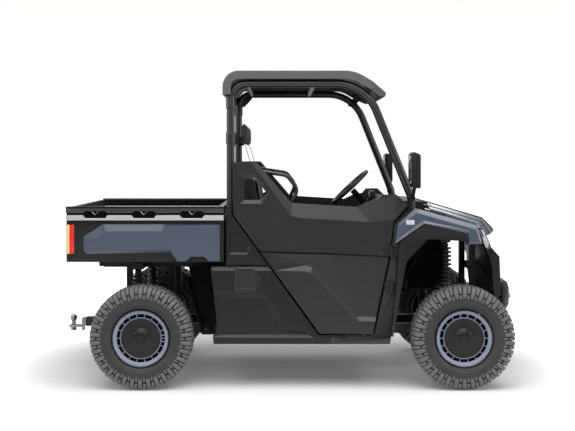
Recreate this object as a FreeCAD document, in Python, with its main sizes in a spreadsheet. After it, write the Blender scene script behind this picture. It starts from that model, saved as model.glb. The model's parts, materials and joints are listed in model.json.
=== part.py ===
import FreeCAD, Part
import Sketcher
import math
import os

from FreeCAD import Placement, Rotation, Vector

# An open side by side utility vehicle: two doors, a tipping cargo bed, a tube cage with a moulded roof.
# X points forward, Y to the driver's side, Z up. The origin is on the ground, midway along the whole length.

DIMENSIONS = (
    # Whole vehicle
    ("wheelbase", 2100),
    ("front_overhang", 467),
    ("rear_overhang", 615),
    ("seam", 8),
    ("seat_gap", 0.3),
    ("running_gap", 0.05),
    ("overrun", 20),
    # Tyres
    ("tyre_radius", 337),
    ("tyre_outer_y", 800),
    ("front_tyre_width", 232),
    ("rear_tyre_width", 268),
    ("tyre_bead_radius", 187),
    ("tyre_bead_inset", 26),
    ("lug_height", 19),
    ("lug_taper", 40),
    # Rims
    ("rim_wall", 8),
    ("rim_lip_inset", 12),
    ("rim_disc_inset", 22),
    ("rim_disc_wall", 12),
    ("window_inner_radius", 136),
    ("window_outer_radius", 158),
    ("window_width", 42),
    ("hub_cone_radius", 66),
    ("hub_cone_tip_radius", 40),
    ("hub_cone_height", 16),
    ("hub_cap_radius", 29),
    ("hub_cap_height", 12),
    ("hub_radius", 45),
    ("brake_disc_radius", 96),
    ("brake_disc_wall", 6),
    ("brake_disc_gap", 12),
    # Knuckles and steering
    ("kingpin_y", 590),
    ("rear_knuckle_y", 560),
    ("knuckle_length", 60),
    ("kingpin_radius", 24),
    ("shaft_end_gap", 5),
    ("knuckle_width", 44),
    ("knuckle_low_z", 236),
    ("knuckle_height", 202),
    ("spindle_radius", 21),
    ("spindle_length", 110),
    ("steering_arm_length", 110),
    ("steering_arm_inset", 30),
    ("steering_arm_wall", 14),
    ("steering_arm_width", 26),
    ("steering_arm_z", 362),
    ("tie_rod_radius", 8),
    ("tie_rod_eye_radius", 13),
    ("tie_rod_clearance", 6),
    ("tie_rod_eye_height", 12),
    ("rack_case_length", 50),
    ("rack_case_half_width", 180),
    ("rack_case_height", 58),
    ("steering_wheel_radius", 170),
    ("steering_rim_radius", 14),
    ("steering_wheel_z", 1288),
    ("steering_wheel_setback", 672),
    ("steering_hub_radius", 34),
    ("steering_hub_height", 30),
    ("spoke_width", 30),
    ("spoke_wall", 10),
    ("driver_y", 350),
    ("column_angle_deg", 43),
    ("column_radius", 22),
    ("column_length", 230),
    # Suspension
    ("arm_tube_radius", 13),
    ("arm_eye_radius", 16),
    ("arm_eye_length", 40),
    ("ball_joint_radius", 22),
    ("ball_joint_height", 46),
    ("lower_pivot_z", 320),
    ("upper_pivot_z", 500),
    ("arm_spread", 150),
    ("upper_arm_spread", 32),
    ("shock_foot_z", 292),
    ("shock_lean", 66),
    ("shock_body_radius", 22),
    ("shock_eye_radius", 17),
    ("shock_eye_length", 34),
    ("shock_top_y", 400),
    ("spring_radius", 36),
    ("spring_wire", 11),
    ("half_shaft_radius", 13),
    ("shaft_boot_radius", 34),
    ("shaft_boot_length", 70),
    ("shaft_inner_z", 402),
    # Chassis frame
    ("rail_outer_y", 240),
    ("rail_width", 50),
    ("belly_z", 290),
    ("rail_height", 60),
    ("rail_rear_reach", 332),
    ("rail_front_reach", 200),
    ("post_width", 40),
    ("rear_deck_z", 790),
    ("front_deck_lift", 2.792),
    ("deck_rail_height", 44),
    ("cross_rail_width", 60),
    ("sill_width", 60),
    ("sill_height", 40),
    ("skid_wall", 6),
    ("hitch_width", 64),
    ("hitch_wall", 7),
    ("hitch_low_z", 299),
    ("hitch_length", 240),
    ("hitch_end_setback", 119),
    ("ball_radius", 25),
    ("ball_plate_wall", 14),
    ("ball_plate_z", 291),
    ("ball_neck_radius", 14),
    ("ball_nut_radius", 19),
    ("ball_nut_height", 24),
    ("ball_setback", 28),
    ("ball_height", 65),
    # Cab floor, battery, drive units
    ("floor_wall", 16),
    ("floor_half_width", 690),
    ("toe_wall", 14),
    ("toe_height", 560),
    ("toe_setback", 12),
    ("battery_length", 520),
    ("battery_half_width", 540),
    ("battery_height", 378),
    ("motor_length", 230),
    ("motor_half_width", 168),
    ("motor_height", 210),
    ("front_drive_length", 170),
    ("front_drive_height", 150),
    # Doors
    ("door_hinge_setback", 469),
    ("door_hinge_y", 752),
    ("rear_door_setback", 600),
    ("door_nose", 111),
    ("door_low_z", 356),
    ("door_height", 1126),
    ("door_inner_y", 698),
    ("door_wall", 38),
    ("door_relief", 7),
    ("hinge_pin_radius", 6),
    ("hinge_barrel_radius", 12),
    ("hinge_height", 56),
    ("hinge_low_z", 640),
    ("hinge_high_z", 876),
    # Side panels and rockers
    ("panel_lap", 147),
    ("panel_low_z", 292),
    ("panel_height", 899),
    ("panel_inner_y", 700),
    ("panel_wall", 36),
    ("panel_relief", 7),
    ("flap_wall", 8),
    ("flap_barrel_radius", 4.3),
    ("charge_well_depth", 24),
    # Front fenders and flares
    ("nose_length", 591),
    ("nose_height", 888),
    ("fender_wall", 30),
    ("flare_inner_y", 708),
    ("flare_wall", 72),
    ("fender_inner_y", 735),
    ("shelf_wall", 12),
    ("liner_wall", 8),
    ("liner_inner_y", 396),
    ("liner_outer_y", 700),
    ("rear_guard_half_width", 430),
    # Fascia, bumper, lamps, hood
    ("fascia_setback", 139),
    ("fascia_length", 185),
    ("fascia_low_z", 548),
    ("fascia_height", 500),
    ("fascia_half_width", 500),
    ("grille_depth", 26),
    ("lamp_width", 170),
    ("lamp_wall", 40),
    ("lamp_inset", 8),
    ("bumper_half_width", 300),
    ("bumper_low_z", 432),
    ("bumper_height", 220),
    ("bumper_wall", 46),
    ("bumper_length", 122),
    ("hook_reach", 33),
    ("hook_height", 40),
    ("hook_width", 22),
    ("hook_hole_radius", 11),
    ("hood_setback", 184),
    ("hood_length", 508),
    ("hood_low_z", 976),
    ("hood_height", 240),
    ("hood_wall", 12),
    ("hood_half_width", 500),
    ("hood_hinge_x_gap", 15),
    ("hood_hinge_z", 1176),
    ("hood_barrel_radius", 9),
    ("hood_pin_radius", 4),
    ("hood_barrel_length", 32),
    ("hood_ear_wall", 12),
    ("hood_hinge_y", 360),
    # Dashboard
    ("dash_length", 350),
    ("dash_height", 253),
    ("dash_half_width", 598),
    ("dash_reach", 108),
    ("cowl_length", 107),
    ("cowl_half_width", 500),
    # Cage
    ("cage_radius", 27),
    ("cage_foot_y", 656),
    ("cage_foot_gap", 1.3),
    ("cage_top_y", 612),
    ("cage_top_z", 2003),
    ("cage_pillar_setback", 23),
    ("cage_front_bend", 285),
    ("cage_rear_bend", 105),
    ("cage_cowl_bend", 120),
    ("crossbar_radius", 19),
    ("shoulder_drop", 363),
    ("hip_bar_radius", 14),
    ("hip_bar_bend", 70),
    # Roof
    ("roof_nose", 155.75),
    ("roof_height", 158),
    ("roof_reach", 52),
    ("roof_wall", 12),
    ("roof_side_band", 54),
    ("roof_half_width", 668),
    ("roof_rear_bend", 105),
    ("roof_front_bend", 230),
    ("roof_lift", 81),
    ("roof_rib_width", 18),
    # Bed
    ("bed_setback", 64),
    ("bed_overhang", 496),
    ("bed_low_z", 826),
    ("bed_top_drop", 1),
    ("bed_half_width", 702),
    ("bed_wall", 26),
    ("bed_floor_wall", 12),
    ("bed_skin_wall", 14),
    ("bed_rail_height", 90),
    ("bed_rail_wall", 40),
    ("bed_rail_inner_y", 688),
    ("bed_post_width", 102),
    ("bed_post_length", 78),
    ("bed_runner_gap", 0.3),
    ("bed_hinge_setback", 142),
    ("bed_hinge_z", 800),
    ("bed_lug_radius", 17),
    ("bed_pin_radius", 10),
    ("bed_ear_wall", 12),
    ("slot_length", 166),
    ("slot_height", 46),
    ("slot_depth", 14),
    ("lamp_rear_inset", 6),
    ("tail_lamp_length", 47),
    ("tail_lamp_height", 192),
    ("tail_lamp_low", 54),
    ("tail_lamp_wall", 16),
    ("tailgate_wall", 32),
    ("tailgate_gap", 6),
    ("tailgate_barrel_radius", 11),
    ("tailgate_pin_radius", 5),
    ("tailgate_pin_length", 18),
    # Seats
    ("seat_half_width", 556),
    ("seat_gap_between", 12),
    ("cushion_length", 470),
    ("cushion_height", 118),
    ("back_length", 190),
    ("back_clearance", 237.8),
    ("seat_reach", 59),
    ("headrest_wall", 34),
    ("headrest_height", 156),
    ("headrest_width", 250),
    ("headrest_drop", 46),
    ("headrest_setback", 66),
    ("headrest_stem", 30),
    ("belt_width", 46),
    ("belt_wall", 4),
    ("belt_y", 484),
    # Mirrors and pedals
    ("mirror_height", 232),
    ("mirror_wall", 44),
    ("mirror_width", 160),
    ("mirror_low_z", 1316),
    ("mirror_inner_y", 780),
    ("mirror_x_reach", 120),
    ("mirror_arm_radius", 12),
    ("pedal_width", 70),
    ("pedal_height", 90),
    ("pedal_wall", 10),
    ("pedal_low_z", 440),
    ("pedal_arm_width", 14),
    ("pedal_reach", 90),
)

doc = FreeCAD.newDocument("SideBySide")
sheet = doc.addObject("Spreadsheet::Sheet", "Sizes")


class Size(float):
    """A value that carries the spreadsheet expression it comes from."""

    def __new__(cls, value, text=None):
        made = super().__new__(cls, value)
        made.text = format(float(value), ".10g") if text is None else text
        return made

    def __add__(self, other):
        return Size(float(self) + float(other), f"({self.text} + {text_of(other)})")

    def __radd__(self, other):
        return Size(float(other) + float(self), f"({text_of(other)} + {self.text})")

    def __sub__(self, other):
        return Size(float(self) - float(other), f"({self.text} - {text_of(other)})")

    def __rsub__(self, other):
        return Size(float(other) - float(self), f"({text_of(other)} - {self.text})")

    def __mul__(self, other):
        return Size(float(self) * float(other), f"({self.text} * {text_of(other)})")

    def __rmul__(self, other):
        return Size(float(other) * float(self), f"({text_of(other)} * {self.text})")

    def __truediv__(self, other):
        return Size(float(self) / float(other), f"({self.text} / {text_of(other)})")

    def __neg__(self):
        return Size(-float(self), f"(0 - {self.text})")


def text_of(value):
    return value.text if isinstance(value, Size) else format(float(value), ".10g")


class Named:
    """Every named size of the vehicle, given and derived."""


size = Named()
row = 0
for name, value in DIMENSIONS:
    row += 1
    sheet.set(f"A{row}", name)
    sheet.set(f"B{row}", str(value))
    sheet.setAlias(f"B{row}", name)
    setattr(size, name, Size(value, "Sizes." + name))


def derive(name, value):
    """Keep a worked out size in the sheet under its own name."""
    global row
    row += 1
    sheet.set(f"A{row}", name)
    sheet.set(f"B{row}", "=" + value.text.replace("Sizes.", ""))
    sheet.setAlias(f"B{row}", name)
    setattr(size, name, Size(float(value), "Sizes." + name))


def bind(thing, path, value):
    if isinstance(value, Size):
        thing.setExpression(path, value.text)
    elif "." not in path:
        setattr(thing, path, value)


def settle(thing, x, y, z, turn=None):
    """Place a thing at named sizes, turned as asked."""
    thing.Placement = Placement(Vector(float(x), float(y), float(z)), turn or Rotation())
    bind(thing, "Placement.Base.x", x)
    bind(thing, "Placement.Base.y", y)
    bind(thing, "Placement.Base.z", z)
    return thing


def box(name, x0, x1, y0, y1, z0, z1):
    made = doc.addObject("Part::Box", name)
    bind(made, "Length", x1 - x0)
    bind(made, "Width", y1 - y0)
    bind(made, "Height", z1 - z0)
    return settle(made, x0, y0, z0)


TURNS = {
    "X": Rotation(Vector(0, 1, 0), 90),
    "Y": Rotation(Vector(1, 0, 0), -90),
    "Z": Rotation(),
}


def rod(name, axis, x, y, z, radius, length):
    """A cylinder from the point x, y, z along +X, +Y or +Z."""
    made = doc.addObject("Part::Cylinder", name)
    bind(made, "Radius", radius)
    bind(made, "Height", length)
    return settle(made, x, y, z, TURNS[axis])


def cone(name, axis, x, y, z, first, second, length):
    made = doc.addObject("Part::Cone", name)
    bind(made, "Radius1", first)
    bind(made, "Radius2", second)
    bind(made, "Height", length)
    return settle(made, x, y, z, TURNS[axis])


def fuse(name, parts):
    made = doc.addObject("Part::MultiFuse", name)
    made.Shapes = parts
    return made


def cut(name, base, tools):
    made = doc.addObject("Part::Cut", name)
    made.Base = base
    made.Tool = tools[0] if len(tools) == 1 else fuse(name + "_tools", tools)
    return made


def common(name, first, second):
    made = doc.addObject("Part::Common", name)
    made.Base = first
    made.Tool = second
    return made


def mirrored(name, source):
    """The same piece on the driver's side."""
    made = doc.addObject("Part::Mirroring", name)
    made.Source = source
    made.Normal = Vector(0, 1, 0)
    return made


def group(name, parts):
    made = doc.addObject("Part::Compound", name)
    made.Links = parts
    return made


def both(name, source):
    """A piece and its mirror image, as one node."""
    return group(name, [source, mirrored(name + "_left", source)])


def spread(x0, length, z0, height, shares):
    """The points of an outline, from shares of the box that it fills."""
    return [(x0 + length * u, z0 + height * v) for u, v in shares]


def outline(sketch, points):
    """Draw a closed outline through the points, each held at its own sizes."""
    first = sketch.GeometryCount
    count = len(points)
    for index in range(count):
        a = points[index]
        b = points[(index + 1) % count]
        line = Part.LineSegment(Vector(float(a[0]), float(a[1]), 0), Vector(float(b[0]), float(b[1]), 0))
        sketch.addGeometry(line, False)
    for index in range(count):
        following = first + (index + 1) % count
        sketch.addConstraint(Sketcher.Constraint("Coincident", first + index, 2, following, 1))
    for index, point in enumerate(points):
        for kind, value in zip(("DistanceX", "DistanceY"), point):
            held = sketch.addConstraint(
                Sketcher.Constraint(kind, -1, 1, first + index, 1, float(value))
            )
            if isinstance(value, Size):
                sketch.setExpression(f"Constraints[{held}]", value.text)


def circle(sketch, x, z, radius):
    at = sketch.addGeometry(Part.Circle(Vector(float(x), float(z), 0), Vector(0, 0, 1), float(radius)), False)
    for kind, value in (("DistanceX", x), ("DistanceY", z)):
        held = sketch.addConstraint(Sketcher.Constraint(kind, -1, 1, at, 3, float(value)))
        if isinstance(value, Size):
            sketch.setExpression(f"Constraints[{held}]", value.text)
    held = sketch.addConstraint(Sketcher.Constraint("Radius", at, float(radius)))
    if isinstance(radius, Size):
        sketch.setExpression(f"Constraints[{held}]", radius.text)


PLANES = {
    "XZ": (Rotation(Vector(1, 0, 0), 90), Vector(0, 1, 0)),
    "YZ": (Rotation(Vector(1, 1, 1), 120), Vector(1, 0, 0)),
    "XY": (Rotation(), Vector(0, 0, 1)),
}


def prism(name, plane, points, start, end):
    """An outline drawn on a plane and pushed from start to end along the plane's own axis."""
    turn, along = PLANES[plane]
    sketch = doc.addObject("Sketcher::SketchObject", name + "_outline")
    base = [Size(0), Size(0), Size(0)]
    base[list(along).index(1)] = start
    settle(sketch, *base, turn)
    outline(sketch, points)
    made = doc.addObject("Part::Extrusion", name)
    made.Base = sketch
    made.DirMode = "Custom"
    made.Dir = along
    made.Solid = True
    bind(made, "LengthFwd", end - start)
    return made


class Maker:
    """A body made feature by feature from sketches on the vehicle's own planes."""

    def __init__(self, name):
        self.name = name
        self.body = doc.addObject("PartDesign::Body", name)
        self.count = 0

    def sketch(self, plane, offset=None):
        self.count += 1
        made = self.body.newObject("Sketcher::SketchObject", f"{self.name}_sketch_{self.count}")
        support = [f for f in self.body.Origin.OriginFeatures if f.Role == plane + "_Plane"][0]
        made.AttachmentSupport = [(support, "")]
        made.MapMode = "FlatFace"
        if offset is not None:
            bind(made, "AttachmentOffset.Base.z", offset)
        return made

    def feature(self, kind, **values):
        self.count += 1
        made = self.body.newObject("PartDesign::" + kind, f"{self.name}_{kind.lower()}_{self.count}")
        for key, value in values.items():
            if isinstance(value, Size):
                made.setExpression(key, value.text)
            else:
                setattr(made, key, value)
        return made

    def pad(self, sketch, length, **more):
        return self.feature("Pad", Profile=sketch, Length=length, **more)

    def pocket(self, sketch, length, **more):
        return self.feature("Pocket", Profile=sketch, Length=length, **more)

    def revolve(self, sketch):
        return self.feature("Revolution", Profile=sketch, ReferenceAxis=(sketch, ["H_Axis"]), Angle=360)

    def around(self, feature, sketch, count):
        made = self.feature("PolarPattern", Originals=[feature])
        made.Axis = (sketch, ["H_Axis"])
        made.Angle = 360
        made.Occurrences = count
        self.body.Tip = made
        return made

    def dress(self, kind, base, picked, value, key):
        """Fillet or chamfer the edges of the base that the test picks."""
        doc.recompute()
        names = [f"Edge{n}" for n, e in enumerate(base.Shape.Edges, 1) if picked(e)]
        made = self.feature(kind, Base=(base, names))
        bind(made, key, value)
        return made


def near(value, target):
    return abs(float(value) - float(target)) < NEAR


def edge_along(edge, axis):
    """Whether a straight edge runs along the vehicle's axis 0, 1 or 2."""
    if len(edge.Vertexes) < 2 or edge.Curve.TypeId != "Part::GeomLine":
        return False
    run = edge.Vertexes[1].Point - edge.Vertexes[0].Point
    return abs(abs(run[axis]) - run.Length) < NEAR


NEAR = Size(0.01)


def flat_corners(centre, along, aside, radius, sides):
    """Corners round a centre. The flats between them stand off by the radius, one of them square to a direction."""
    first = (aside - along * aside.dot(along)).normalize()
    second = along.cross(first)
    reach = radius / math.cos(math.pi / sides)
    angles = [math.pi * (2 * index + 1) / sides for index in range(sides)]
    return [centre + first * (reach * math.cos(angle)) + second * (reach * math.sin(angle)) for angle in angles]


def plane_face(points):
    return Part.Face(Part.makePolygon(points + [points[0]]))


def closed_solid(faces):
    """One solid out of the flat faces that close it."""
    shell = Part.makeShell(faces)
    shell.sewShape()
    solid = Part.makeSolid(shell)
    if solid.Volume < 0:
        solid.reverse()
    return solid


def band(first, second):
    """Flat faces between two closed rows of corners."""
    count = len(first)
    return [plane_face([first[index], first[(index + 1) % count], second[(index + 1) % count], second[index]])
            for index in range(count)]


def feature(name, shape):
    made = doc.addObject("Part::Feature", name)
    made.Shape = shape
    return made


def bent_line(points, bends, flats):
    """The corners of straight runs through the points, each bend cut into the same number of flats."""
    line = [points[0]]
    for index in range(1, len(points) - 1):
        here = points[index]
        back = (points[index - 1] - here).normalize()
        on = (points[index + 1] - here).normalize()
        half = back.getAngle(on) / 2
        radius = float(bends[index - 1])
        start = here + back * (radius / math.tan(half))
        end = here + on * (radius / math.tan(half))
        centre = here + (back + on).normalize() * (radius / math.sin(half))
        turn = math.degrees(math.pi - half * 2)
        axis = (start - centre).cross(end - centre)
        for step in range(flats + 1):
            line.append(centre + Rotation(axis, turn * step / flats).multVec(start - centre))
    line.append(points[-1])
    return line


def tube(name, points, bends, radius, sides, flats):
    """A round bar in flats, along straight runs and bends, mitred where its flats turn."""
    line = bent_line([Vector(float(x), float(y), float(z)) for x, y, z in points], bends, flats)
    runs = [(b - a).normalize() for a, b in zip(line, line[1:])]
    corners = flat_corners(line[0], runs[0], Vector(0, 1, 0), float(radius), sides)
    rows = [corners]
    for index in range(1, len(line)):
        along = runs[index - 1]
        mitre = (along + runs[min(index, len(runs) - 1)]).normalize()
        corners = [corner + along * ((line[index] - corner).dot(mitre) / along.dot(mitre)) for corner in corners]
        rows.append(corners)
    faces = [plane_face(rows[0]), plane_face(rows[-1])]
    for first, second in zip(rows, rows[1:]):
        faces += band(first, second)
    return feature(name, closed_solid(faces))


def strut(name, start, end, radius, sides=8):
    """A round bar in flats between two points."""
    a = Vector(*[float(v) for v in start])
    b = Vector(*[float(v) for v in end])
    along = (b - a).normalize()
    aside = Vector(1, 0, 0) if abs(along.y) > abs(along.z) else Vector(0, 1, 0)
    first = flat_corners(a, along, aside, float(radius), sides)
    second = flat_corners(b, along, aside, float(radius), sides)
    return feature(name, closed_solid([plane_face(first), plane_face(second)] + band(first, second)))


def turned(name, places, sides, axis="Y"):
    """A closed outline of (place, radius) turned about the Y or Z axis in flats. The radii are the corners' own."""
    places = [(float(y), float(radius)) for y, radius in places]
    angles = [math.tau * (index + 0.5) / sides for index in range(sides)]

    def row(place, radius):
        across, up = ([radius * turn(angle) for angle in angles] for turn in (math.sin, math.cos))
        if axis == "Z":
            return [Vector(x, y, place) for x, y in zip(across, up)]
        return [Vector(x, place, z) for x, z in zip(across, up)]

    faces = []
    for (y0, r0), (y1, r1) in zip(places, places[1:] + places[:1]):
        if r0 < NEAR and r1 < NEAR:
            continue
        if r1 < NEAR:
            faces.append(plane_face(row(y0, r0)))
        elif r0 < NEAR:
            faces.append(plane_face(row(y1, r1)))
        else:
            faces += band(row(y0, r0), row(y1, r1))
    return feature(name, closed_solid(faces))


def stub(name, axis, x, y, z, radius, length, sides=8):
    """A short round bar in flats along one of the vehicle's axes, from its low end."""
    run = {"X": Vector(1, 0, 0), "Y": Vector(0, 1, 0), "Z": Vector(0, 0, 1)}[axis]
    start = Vector(float(x), float(y), float(z))
    aside = Vector(1, 0, 0) if axis != "X" else Vector(0, 1, 0)
    first = flat_corners(start, run, aside, float(radius), sides)
    second = [corner + run * float(length) for corner in first]
    return feature(name, closed_solid([plane_face(first), plane_face(second)] + band(first, second)))


# Places along the vehicle
derive("rear_x", (size.rear_overhang + size.wheelbase + size.front_overhang) * -0.5)
derive("front_x", -size.rear_x)
derive("rear_axle_x", size.rear_x + size.rear_overhang)
derive("front_axle_x", size.rear_axle_x + size.wheelbase)
derive("hub_z", size.tyre_radius + 0)
derive("front_deck_z", size.panel_low_z + size.nose_height * 0.766 + size.front_deck_lift)
derive("bed_height", size.panel_low_z + size.panel_height - size.bed_top_drop - size.bed_low_z)
derive("hinge_x", size.front_axle_x - size.door_hinge_setback)
derive("door_reach", size.wheelbase - size.door_hinge_setback - size.rear_door_setback)
derive("door_length", size.door_reach + size.door_nose)
derive("door_rear_x", size.rear_axle_x + size.rear_door_setback)
derive("panel_x", size.door_rear_x - size.panel_lap)
derive("panel_length", size.door_reach + size.panel_lap)
derive("pillar_x", size.door_rear_x - size.cage_pillar_setback)
derive("bed_front_x", size.door_rear_x - size.bed_setback)
derive("bed_rear_x", size.rear_axle_x - size.bed_overhang)
derive("bed_length", size.bed_front_x - size.bed_rear_x)
derive("rail_inner_y", size.rail_outer_y - size.rail_width)
derive("rail_top_z", size.belly_z + size.rail_height)
derive("rail_rear_x", size.rear_axle_x - size.rail_rear_reach)
derive("rail_front_x", size.front_axle_x + size.rail_front_reach)
derive("floor_z", size.rail_top_z + size.seat_gap)
derive("floor_top_z", size.floor_z + size.floor_wall)
derive("half_post", size.post_width / 2)
derive("sill_outer_y", size.panel_inner_y - size.seat_gap)
derive("bed_hinge_x", size.bed_rear_x + size.bed_hinge_setback)

NODES = []


def node(made):
    """Keep a piece as a node of the vehicle, under its own label."""
    made.Label = made.Name
    NODES.append(made)
    return made


def right(name, x0, x1, inner, outer, z0, z1):
    """A block on the passenger side, between two distances from the middle."""
    return box(name, x0, x1, -outer, -inner, z0, z1)


def across(name, x0, x1, half, z0, z1):
    """A block that reaches as far to either side."""
    return box(name, x0, x1, -half, half, z0, z1)


# Chassis frame: two rails, raised decks over the axles, sills, and the hitch receiver
s = size
derive("shock_front_x", s.front_axle_x - s.shock_lean)
derive("shock_rear_x", s.rear_axle_x - s.shock_lean)
derive("front_deck_low_z", s.front_deck_z - s.deck_rail_height)
derive("rear_deck_low_z", s.rear_deck_z - s.deck_rail_height)
derive("front_post_x", s.front_axle_x + s.arm_spread)
derive("toe_post_x", s.hinge_x + s.post_width * 1.4)
derive("bumper_rear_x", s.front_x - s.hook_reach - s.bumper_length)
derive("arm_eye_y", s.rail_outer_y + s.arm_eye_radius + s.seat_gap)
derive("tower_y", s.shock_top_y + s.shock_eye_radius)


derive("cross_reach_y", s.rail_inner_y - s.seat_gap)
derive("outrigger_y", s.rail_outer_y + s.seat_gap)
derive("sill_inner_y", s.sill_outer_y - s.sill_width)
derive("outrigger_low_z", s.rail_top_z - s.sill_height)
derive("post_low_z", s.rail_top_z + s.seat_gap)
derive("beam_reach", s.arm_spread - s.half_post - s.seat_gap)
derive("hitch_rear_x", s.rear_x + s.hitch_end_setback)
derive("hitch_top_z", s.hitch_low_z + s.hitch_width)
derive("fascia_x", s.front_axle_x + s.fascia_setback)
derive("fascia_back_x", s.fascia_x + s.fascia_length * 0.52)


def pairs(parts):
    """Members of the passenger side with those of the driver's side."""
    return parts + [mirrored(f"{part.Name}_left", part) for part in parts]


ladder = [
    right("lower_rail", s.rail_rear_x, s.rail_front_x, s.rail_inner_y, s.rail_outer_y, s.belly_z, s.rail_top_z),
    right("sill", s.bed_front_x, s.hinge_x, s.sill_inner_y, s.sill_outer_y, s.outrigger_low_z, s.rail_top_z),
]
crossings = [
    across("nose_cross", s.rail_front_x - s.cross_rail_width, s.rail_front_x, s.cross_reach_y, s.belly_z,
           s.rail_top_z),
    across("steer_cross", s.front_axle_x - s.arm_spread, s.front_axle_x - s.arm_spread + s.cross_rail_width,
           s.cross_reach_y, s.belly_z, s.rail_top_z),
]
cab_cross_shares = (0.0, 0.45, 0.93)
for number, share in enumerate(cab_cross_shares, 1):
    start = s.bed_front_x + (s.hinge_x - s.bed_front_x) * share
    crossings.append(across(f"cab_cross_{number}", start, start + s.cross_rail_width, s.cross_reach_y,
                            s.outrigger_low_z, s.rail_top_z))
    ladder.append(right(f"outrigger_{number}", start, start + s.cross_rail_width, s.outrigger_y,
                        s.sill_inner_y - s.seat_gap, s.outrigger_low_z, s.rail_top_z))
hitch_bore = across("hitch_bore", s.hitch_rear_x - s.overrun, s.hitch_rear_x + s.hitch_length - s.hitch_wall,
                    s.hitch_width / 2 - s.hitch_wall, s.hitch_low_z + s.hitch_wall, s.hitch_top_z - s.hitch_wall)
receiver = fuse("rear_cross_block", [
    across("rear_cross", s.rail_rear_x, s.rail_rear_x + s.cross_rail_width, s.cross_reach_y, s.belly_z, s.rail_top_z),
    across("receiver", s.hitch_rear_x, s.hitch_rear_x + s.hitch_length, s.hitch_width / 2, s.hitch_low_z,
           s.hitch_top_z),
])
node(group("chassis_frame", pairs(ladder) + crossings + [cut("rear_cross_hitch", receiver, [hitch_bore])]))


def posts(places, top):
    """Upright members on the passenger side's rail."""
    return [right(name, x - s.half_post, x + s.half_post, s.rail_inner_y, s.rail_outer_y, s.post_low_z,
                  top - s.seat_gap) for name, x in places]


def arm_beam(name, axle_x):
    """The member between two posts that carries the upper suspension arms."""
    return right(name, axle_x - s.beam_reach, axle_x + s.beam_reach, s.rail_inner_y, s.rail_outer_y,
                 s.upper_pivot_z - s.half_post, s.upper_pivot_z + s.half_post)


def tower(name, x, low, high):
    """The block on a deck that takes the shock absorber's upper eye."""
    return right(name, x - s.shock_eye_length, x + s.shock_eye_length, s.rail_inner_y, s.tower_y, low, high)


# Rear subframe: posts and decks under the cargo bed, with its hinge ears
rear_members = posts((("rear_post", s.rear_axle_x - s.arm_spread), ("axle_post", s.rear_axle_x + s.arm_spread),
                      ("cab_post", s.bed_front_x - s.half_post)), s.rear_deck_low_z)
rear_members.append(arm_beam("rear_arm_beam", s.rear_axle_x))
rear_members.append(fuse("rear_deck_block", [
    right("rear_deck", s.rail_rear_x, s.bed_front_x, s.rail_inner_y, s.rail_outer_y, s.rear_deck_low_z,
          s.rear_deck_z),
    tower("rear_tower", s.shock_rear_x, s.rear_deck_low_z, s.rear_deck_z),
    right("hinge_ear", s.bed_hinge_x - s.bed_lug_radius, s.rail_rear_x + s.overrun,
          s.rail_inner_y - s.bed_ear_wall, s.rail_inner_y, s.rear_deck_low_z, s.bed_hinge_z + s.bed_lug_radius),
    rod("hinge_pin", "Y", s.bed_hinge_x, -s.rail_outer_y, s.bed_hinge_z, s.bed_pin_radius,
        s.rail_width + s.bed_ear_wall / 2),
]))
node(group("rear_subframe", pairs(rear_members) + [
    across("rear_deck_cross", s.rail_rear_x + s.cross_rail_width, s.rail_rear_x + s.cross_rail_width * 2,
           s.cross_reach_y, s.rear_deck_low_z, s.rear_deck_z),
]))

# Front subframe: posts and decks under the hood, with the arms behind the bumper
front_members = posts((("toe_post", s.toe_post_x), ("steer_post", s.front_axle_x - s.arm_spread),
                       ("nose_post", s.front_post_x)), s.front_deck_low_z)
front_members.append(arm_beam("front_arm_beam", s.front_axle_x))
front_members.append(fuse("front_deck_block", [
    right("front_deck", s.toe_post_x - s.half_post, s.front_post_x + s.half_post, s.rail_inner_y, s.rail_outer_y,
          s.front_deck_low_z, s.front_deck_z),
    tower("front_tower", s.shock_front_x, s.front_deck_low_z, s.front_deck_z),
]))
bumper_arm = right("bumper_arm", s.front_post_x + s.half_post + s.seat_gap, s.bumper_rear_x - s.seat_gap,
                   s.rail_inner_y, s.rail_outer_y, s.bumper_low_z + s.seam, s.bumper_low_z + s.seam + s.post_width)
bumper_frame = fuse("bumper_frame", [
    bumper_arm, mirrored("bumper_arm_left", bumper_arm),
    across("bumper_cross", s.bumper_rear_x - s.seat_gap - s.post_width, s.bumper_rear_x - s.seat_gap, s.rail_outer_y,
           s.bumper_low_z + s.seam, s.bumper_low_z + s.seam + s.post_width),
])
node(group("front_subframe", pairs(front_members) + [
    bumper_frame,
    across("front_deck_cross", s.front_post_x - s.half_post, s.front_post_x + s.half_post, s.cross_reach_y,
           s.front_deck_low_z, s.front_deck_z),
    across("fascia_stay", s.front_post_x + s.half_post + s.seat_gap, s.fascia_back_x - s.seat_gap, s.rail_outer_y,
           s.fascia_low_z + s.fascia_height * 0.3, s.fascia_low_z + s.fascia_height * 0.4),
]))

node(across("skid_plate", s.rail_rear_x, s.rail_front_x, s.rail_outer_y, s.belly_z - s.seat_gap - s.skid_wall,
            s.belly_z - s.seat_gap))

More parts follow.
